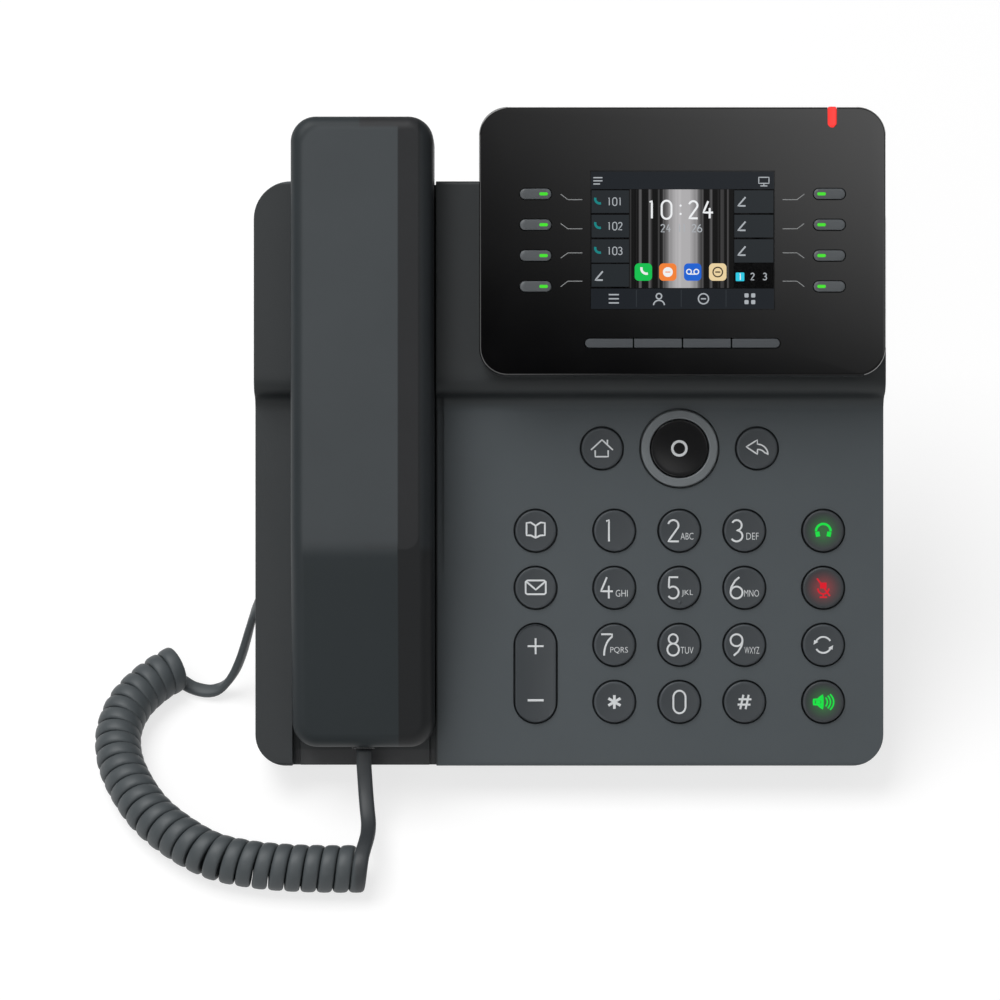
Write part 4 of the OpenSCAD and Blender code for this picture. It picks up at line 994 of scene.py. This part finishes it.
def hollow(x, v):
    """Height of the select key's hollow top."""
    return (x * x + v * v) / (2 * SELECT_HOLLOW_R)


def make_navigation_ring():
    profile = [(RING_BORE, RING_LOW), (RING_BORE, RING_RISE - 0.35), (9.56, RING_RISE - 0.15),
               (9.72, RING_RISE - 0.03), (9.95, RING_RISE), (10.9, RING_RISE),
               (11.8, RING_RISE), (12.05, RING_RISE - 0.08), (12.22, RING_RISE - 0.28),
               (RING_R, RING_RISE - 0.6), (RING_R, RING_FLANGE),
               (RING_R + FLANGE_LIP, RING_FLANGE), (RING_R + FLANGE_LIP, RING_LOW),
               (RING_BORE, RING_LOW)]
    ring = grown("nav_ring_trim", profile, 128, ring=True)
    finished_with(smoothed(ring, 45), ring_silver)
    seated(ring, "nav_ring", "nav_silver")


def make_select_key():
    under = FLANGE_TOP - FLANGE_T
    profile = [(STEM_R, STEM_END), (STEM_R, under), (SELECT_R, under), (SELECT_R, 0.0),
               (SELECT_R - 0.04, 0.14), (SELECT_R - 0.16, 0.24), (SELECT_R - 0.35, SELECT_RISE)]
    profile += [(r, hollow(r, 0)) for r in (7.6, 6.0, 4.0, 2.0, 0)]
    select = grown("ok_key_cap", profile, 96)
    finished_with(smoothed(select, 40), ok_gloss)
    joined(select, inked("ok_mark", [bow(0, 0, 2.25, 2.25, 0, 360, 40)], 0.85, print_white,
                         surface=hollow))
    seated(select, "ok_key", "ok_gloss")


make_navigation_ring()
make_select_key()

# ---- Keys of the display head ----
HEAD_KEY_TOP = 21.0
LINE_KEY_R = 1.65
LINE_FLANGE_R = 2.45
LED_X = 2.5


def make_line_keys():
    profile = [(LINE_FLANGE_R, 16.9), (LINE_FLANGE_R, 17.8), (LINE_KEY_R, 17.8),
               (LINE_KEY_R, 20.72), (1.58, 20.9), (1.42, HEAD_KEY_TOP), (0.3, HEAD_KEY_TOP)]
    cap = grown("line_cap", profile, 48, (6.6, 0))
    finished_with(smoothed(cap, 40), head_key_plastic)
    for number in range(1, 9):
        name = "line_key_%d" % number
        inwards = 1 if face_middle(name)[0] < PANEL_X else -1
        key = copied(cap, name + "_cap")
        lens = grown("lens", [(0.5, 20.9), (0.5, 21.02), (0.42, 21.05)], 24, (1.7, 0))
        finished_with(smoothed(lens, 50), led_green)
        seated(joined(key, shifted(lens, inwards * LED_X)), name, "head_key_plastic")
    bpy.data.objects.remove(cap)


make_line_keys()
for number in range(1, 5):
    soft = "soft_key_%d" % number
    dressed(soft, soft, "head_key_plastic", soft_key_plastic, 0.2)

# ---- Display head ----
dressed("screen_bezel", "screen", "bezel_gloss", bezel_gloss, 0)
dressed("screen_back", "screen", "head_plastic", head_plastic, 0.2)
dressed("message_light", "screen", "light_lens", light_lens, 0.4)


# Leader lines from the middle of the picture: places across, and heights at both ends
LEADER_X = (38.293, 36.027, 31.496)
LEADER_V = ((14.505, 12.775), (5.255, 3.618), (-5.601, -3.965), (-14.6, -12.869))


def make_bezel_print():
    """Thin leader lines from the line keys to the picture's rows."""
    far, bend, near = LEADER_X
    lines = [[(PANEL_X + side * far, SCREEN_V + outer), (PANEL_X + side * bend, SCREEN_V + inner),
              (PANEL_X + side * near, SCREEN_V + inner)]
             for side in (-1, 1) for outer, inner in LEADER_V]
    leaders = inked("bezel_print", lines, 0.5, print_grey)
    stand_up(shifted(leaders, w=HEAD_TOP - 0.022))
    fitted(leaders, "screen", "bezel_gloss")


make_bezel_print()


# ---- The picture on the display ----
def stripe_picture():
    """Soft upright stripes with a glow in the middle."""
    material, tree, shader = blank_material("picture_stripes")
    across = face_parts(tree)[0]
    line = add_node(tree, "ShaderNodeTexNoise", {"W": across, "Scale": 620.0, "Detail": 2.5,
                                                 "Roughness": 0.6}, noise_dimensions="1D")
    bars = ramp(tree, line.outputs["Fac"], 0.5, 0.72)
    middle = math_node(tree, "ABSOLUTE", math_node(tree, "SUBTRACT", across, PANEL_X * MM))
    glow = ramp(tree, middle, 1.5 * MM, 7 * MM, 1.0, 0.0, "SMOOTHSTEP")
    total = math_node(tree, "ADD", math_node(tree, "MULTIPLY", glow, 0.42),
                      math_node(tree, "MULTIPLY", bars, 0.09))
    colour = mixed_colour(tree, total, (0.002, 0.002, 0.002, 1), (1, 0.98, 1, 1))
    feed(tree, shader, {"Emission Color": colour, "Emission Strength": 1.0, "Base Color": BLACK,
                        "Roughness": 0.25, "Specular IOR Level": 0.2})
    return material


def picture_ink(name, red, green, blue):
    return glowing("picture_" + name, srgb(red, green, blue), flicker=0.04, roughness=0.25)


PICTURE_W = 57.6
PICTURE_H = 43.2
PICTURE_FRONT = 20.4
LAYER = 0.02
BOTTOM_BAR_V = -15.2
TOP_BAR_V = 16.1
ROWS = [(15.7, 8.6), (8.0, 0.9), (0.3, -7.0)]
LAST_ROW = (-7.5, -14.6)
ICON_V = -10.0
MENU_V = -18.4
CALL = [bow(1.6, 1.6, 2.6, 2.6, 165, 285, 12)]
PEN = [[(1.4, 1.5), (-1.1, -1.4), (1.4, -1.4)]]
DASH = [[(-0.8, 0), (0.8, 0)]]
TAPE = [bow(-1.15, 0, 0.75, 0.75, 0, 360), bow(1.15, 0, 0.75, 0.75, 0, 360),
        [(-1.15, -0.75), (1.15, -0.75)]]
MONITOR = [[(-1.6, 1.2), (1.6, 1.2), (1.6, -0.7), (-1.6, -0.7), (-1.6, 1.2)],
           [(0, -0.7), (0, -1.5)], [(-1.1, -1.5), (1.1, -1.5)]]
LIST = [[(-1.3, 0.9), (1.3, 0.9)], [(-1.3, 0), (1.3, 0)], [(-1.3, -0.9), (0.6, -0.9)]]
MENU = [[(-1.6, h), (1.6, h)] for h in (1.3, 0, -1.3)]
PERSON = [bow(0, 0.9, 0.85, 0.85, 0, 360), bow(0, -1.9, 1.7, 1.5, 0, 180)]


def make_picture():
    """The display's picture: bars, rows, tiles and digits in thin lit layers."""
    bar, row = picture_ink("bar", 21, 26, 32), picture_ink("row", 31, 36, 40)
    seam, white = picture_ink("seam", 44, 49, 54), picture_ink("white", 236, 238, 240)
    soft, teal = picture_ink("soft", 170, 175, 180), picture_ink("teal", 12, 128, 128)
    cyan, green = picture_ink("cyan", 42, 200, 226), picture_ink("green", 6, 190, 78)
    orange, blue = picture_ink("orange", 240, 128, 52), picture_ink("blue", 24, 96, 206)
    cream, ink = picture_ink("cream", 232, 208, 160), picture_ink("ink", 60, 50, 34)
    stripes, black = stripe_picture(), picture_ink("black", 6, 6, 8)
    half_w, half_h = PICTURE_W / 2, PICTURE_H / 2
    made = []

    def panel(x0, x1, v0, v1, level, material):
        plate = block("panel", x0, x1, v0, v1, (level - 1) * LAYER, level * LAYER)
        made.append(finished_with(plate, material))

    def tile(x, v, size, radius, level, material):
        plate = grown("tile", [(radius, (level - 1) * LAYER), (radius, level * LAYER)], 24,
                      (size - 2 * radius, size - 2 * radius))
        made.append(shifted(finished_with(plate, material), x, v))

    def drawn(strokes, width, level, material, x=0, v=0, scale=1.0):
        sized = [[(a * scale, b * scale) for a, b in stroke] for stroke in strokes]
        made.append(inked("drawn", sized, width, material, x, v,
                          surface=lambda a, b: (level - 1) * LAYER, thick=LAYER))

    def digits(text, height, level, material, x, v, pitch, width):
        scale = height / 6.8
        for i, digit in enumerate(text):
            if digit in DIGITS:
                drawn(DIGITS[digit], width, level, material, x + i * pitch, v, scale)

    panel(-half_w, half_w, -half_h, half_h, 1, black)
    panel(-16.6, 16.1, BOTTOM_BAR_V + 0.2, TOP_BAR_V - 0.1, 2, stripes)
    panel(-half_w, half_w, TOP_BAR_V, half_h, 2, bar)
    panel(-half_w, half_w, -half_h, BOTTOM_BAR_V, 2, bar)
    for x in (-14.5, -0.4, 13.7):
        panel(x - 0.12, x + 0.12, -21.0, -15.6, 3, seam)
    for top, low in ROWS + [LAST_ROW]:
        panel(-28.6, -16.8, low, top, 2, row)
    for number, (top, low) in enumerate(ROWS, 1):
        panel(16.3, 28.6, low, top, 2, row)
        middle = (top + low) / 2
        drawn(CALL, 0.75, 3, teal, -26.9, middle, 0.55)
        digits("10%d" % number, 2.3, 3, soft, -23.0, middle, 1.7, 0.3)
        drawn(PEN, 0.5, 3, soft, 18.5, middle, 0.95)
    drawn(PEN, 0.5, 3, soft, -26.4, -11.2, 0.95)
    for text, x in (("10", -9.6), ("24", 3.4)):
        digits(text, 5.4, 3, white, x, 9.6, 4.6, 0.62)
    for v in (10.9, 8.3):
        tile(-0.6, v, 0.7, 0.34, 3, white)
    for text, x, pitch in (("24", -6.2, 1.8), ("11", -0.9, 1.5), ("26", 3.6, 1.8)):
        digits(text, 2.3, 3, soft, x, 3.8, pitch, 0.34)
    for x, colour in ((-12.3, green), (-4.6, orange), (3.2, blue), (11.1, cream)):
        tile(x, ICON_V, 5.5, 1.35, 3, colour)
    drawn(CALL, 0.75, 4, white, -12.3, ICON_V + 0.1, 0.62)
    tile(-4.6, ICON_V, 3.1, 1.5, 4, white)
    drawn(DASH, 0.3, 5, orange, -4.6, ICON_V)
    drawn(TAPE, 0.36, 4, white, 3.2, ICON_V + 0.1)
    drawn([bow(0, 0, 1.5, 1.5, 0, 360)] + DASH, 0.42, 4, ink, 11.1, ICON_V)
    tile(18.1, -11.5, 2.7, 0.3, 3, cyan)
    digits("1", 1.9, 4, white, 18.2, -11.5, 1, 0.3)
    for text, x in (("2", 22.0), ("3", 25.9)):
        digits(text, 2.1, 3, soft, x, -11.4, 1, 0.32)
    drawn(MONITOR, 0.34, 3, soft, 25.6, 18.6)
    drawn(LIST, 0.38, 3, soft, -26.6, 18.7, 1.1)
    drawn(MENU, 0.42, 3, soft, -21.6, MENU_V)
    drawn(PERSON, 0.42, 3, soft, -7.4, MENU_V - 0.1)
    drawn([bow(0, 0, 1.6, 1.6, 0, 360)] + DASH, 0.42, 3, soft, 6.6, MENU_V)
    for a in (-1.05, 1.05):
        for b in (-1.05, 1.05):
            tile(21.2 + a, MENU_V + b, 1.3, 0.3, 3, soft)
    picture = joined(*made)
    picture.name = "screen_picture"
    stand_up(shifted(picture, PANEL_X, SCREEN_V, PICTURE_FRONT - LAYER))
    fitted(picture, "screen", "display")


make_picture()
dressed("lcd_panel", "screen", "display", bezel_gloss, 0)

# ---- Body ----
dressed("top_cover", "root", "body_plastic", body_plastic, 0.25)
dressed("back_cover", "root", "body_plastic", back_plastic, 0.3)
dressed("stand", "root", "body_plastic", back_plastic, 0.4)
dressed("rubber_feet", "root", "rubber_feet", rubber, 0.3)
dressed("hook_plunger", "hook_plunger", "ok_gloss", socket_plastic, 0.4)
dressed("rear_jacks", "root", "socket_plastic", socket_plastic, 0.2)
dressed("cover_screws", "root", "steel", steel, 0.15)

# ---- Handset ----
HANDSET_W = 45
HANDSET_LOW = 6.6
HANDSET_TOP = 205.8
HANDSET_BACK = 24
HANDSET_EDGE = 4.5
HANDSET_CORNER_R = 8
PARTING_W = 5
BEND_V = 70
BEND_HALF = 7
NOSE_SLOPE = 0.186


def make_handset_cover():
    """Back shell: a rounded plate whose flat back turns softly down to the lower end."""
    wall_top = HANDSET_BACK - HANDSET_EDGE
    flat_r = HANDSET_CORNER_R - HANDSET_EDGE
    corner, lip_top = HANDSET_CORNER_R, PARTING_W + 0.4
    profile = [(corner - 0.35, PARTING_W + 0.02), (corner - 0.1, PARTING_W + 0.12),
               (corner, lip_top), (corner, 12), (corner, wall_top)]
    for step in range(1, 10):
        turn = pi / 2 * step / 9
        profile.append((flat_r + HANDSET_EDGE * cos(turn), wall_top + HANDSET_EDGE * sin(turn)))
    length = HANDSET_TOP - HANDSET_LOW
    shell = grown("handset_cover_shell", profile, 96,
                  (HANDSET_W - 2 * corner, length - 2 * corner))
    shifted(shell, HANDSET_X, (HANDSET_TOP + HANDSET_LOW) / 2)
    for cut in range(-4, 5):
        edit(shell)
        bpy.ops.mesh.bisect(plane_co=(0, (BEND_V + cut * BEND_HALF / 4) * MM, 0),
                            plane_no=(0, 1, 0))
        done()

    def settled(x, v, w):
        if v > BEND_V + BEND_HALF or w < lip_top:
            return x, v, w
        if v > BEND_V - BEND_HALF:
            drop = NOSE_SLOPE * (BEND_V + BEND_HALF - v) ** 2 / (4 * BEND_HALF)
        else:
            drop = NOSE_SLOPE * (BEND_V - v)
        return x, v, w - drop * min(1, (w - lip_top) / (wall_top - lip_top))

    shaped(shell, settled)
    finished_with(smoothed(shell, 40), handset_plastic)
    stand_up(shell)
    fitted(mark_worn_edges(shell), "handset", "body_plastic", "handset_cover")


make_handset_cover()
dressed("handset_inner", "handset", "body_plastic", inner_plastic, 0)

# ---- Inner pieces that keep their CAD solids ----
for node, material in (("main_board", board_green), ("display_board", board_green),
                       ("keypad_mat", silicone), ("loudspeaker", driver_metal),
                       ("handset_capsules", driver_metal), ("nav_carrier", carrier_plastic),
                       ("hinge_pins", steel)):
    finished_with(nodes[node], material)


# ---- Studio ----
FLOOR_SIZE = 12
FLOOR_GREY = (0.36, 0.36, 0.36, 1.0)
FLOOR_LIFT = 0.72
CARD_W = 1600
AIR_LIGHT = 0.25
LIGHT_BOX = (1.2, 1.0)
LIGHT_AIM = (0, 0, 0.05)


def ray(tree, kind):
    """1 for what the camera sees straight, or by this other kind of ray."""
    path = add_node(tree, "ShaderNodeLightPath").outputs
    return math_node(tree, "MAXIMUM", path["Is Camera Ray"], path[kind])


def make_floor():
    """Pale floor that reads as white paper and keeps the phone's soft shadow."""
    floor = primitive("studio_floor", bpy.ops.mesh.primitive_plane_add, size=FLOOR_SIZE)
    material, tree, shader = blank_material("studio_paper")
    lift = math_node(tree, "MULTIPLY", ray(tree, "Is Glossy Ray"), FLOOR_LIFT)
    feed(tree, shader, {"Base Color": FLOOR_GREY, "Roughness": 0.9, "Specular IOR Level": 0.0,
                        "Emission Color": WHITE, "Emission Strength": lift})
    finished_with(floor, material)


def area_light(name, at, power):
    """A soft light box aimed at the phone."""
    data = bpy.data.lights.new(name, "AREA")
    data.shape = "RECTANGLE"
    data.size, data.size_y = LIGHT_BOX
    data.energy = power
    lamp = new_object(name, data)
    lamp.location = at
    aim = Vector(LIGHT_AIM) - Vector(at)
    lamp.rotation_euler = aim.to_track_quat("-Z", "Y").to_euler()


def make_reflection_card():
    """Graded softbox behind the camera that the gloss bezel mirrors, unseen by the camera."""
    card = primitive("softbox_card", bpy.ops.mesh.primitive_plane_add, size=1)
    shaped(card, lambda a, b, c: (140 + a * 1.3, 290 + b * 0.9, CARD_W))
    material, tree, shader = blank_material("softbox_card")
    across, along = face_parts(tree)
    slant = math_node(tree, "MULTIPLY_ADD", across, 0.3)
    tree.links.new(along, slant.node.inputs[2])
    rise = past(tree, slant, 330, 340)
    right = ramp(tree, across, -0.1, 0.3, 0.26, 1.5)
    feed(tree, shader, {"Base Color": BLACK, "Specular IOR Level": 0.0, "Emission Color": WHITE,
                        "Emission Strength": math_node(tree, "MULTIPLY", rise, right)})
    finished_with(stand_up(card), material)
    card.visible_camera = False
    card.visible_diffuse = False
    card.visible_shadow = False
    card.visible_transmission = False


def make_studio():
    make_floor()
    make_reflection_card()
    area_light("key_light", (-0.55, 0.15, 1.5), 17)
    area_light("front_light", (-0.5, -1.3, 1.0), 5)
    world = bpy.data.worlds.new("studio_air")
    world.use_nodes = True
    bpy.context.scene.world = world
    tree = world.node_tree
    level = ramp(tree, ray(tree, "Is Transmission Ray"), 0.0, 1.0, AIR_LIGHT, 1.0)
    feed(tree, tree.nodes["Background"], {"Color": WHITE, "Strength": level})


make_studio()
bpy.context.scene.view_settings.view_transform = "Standard"
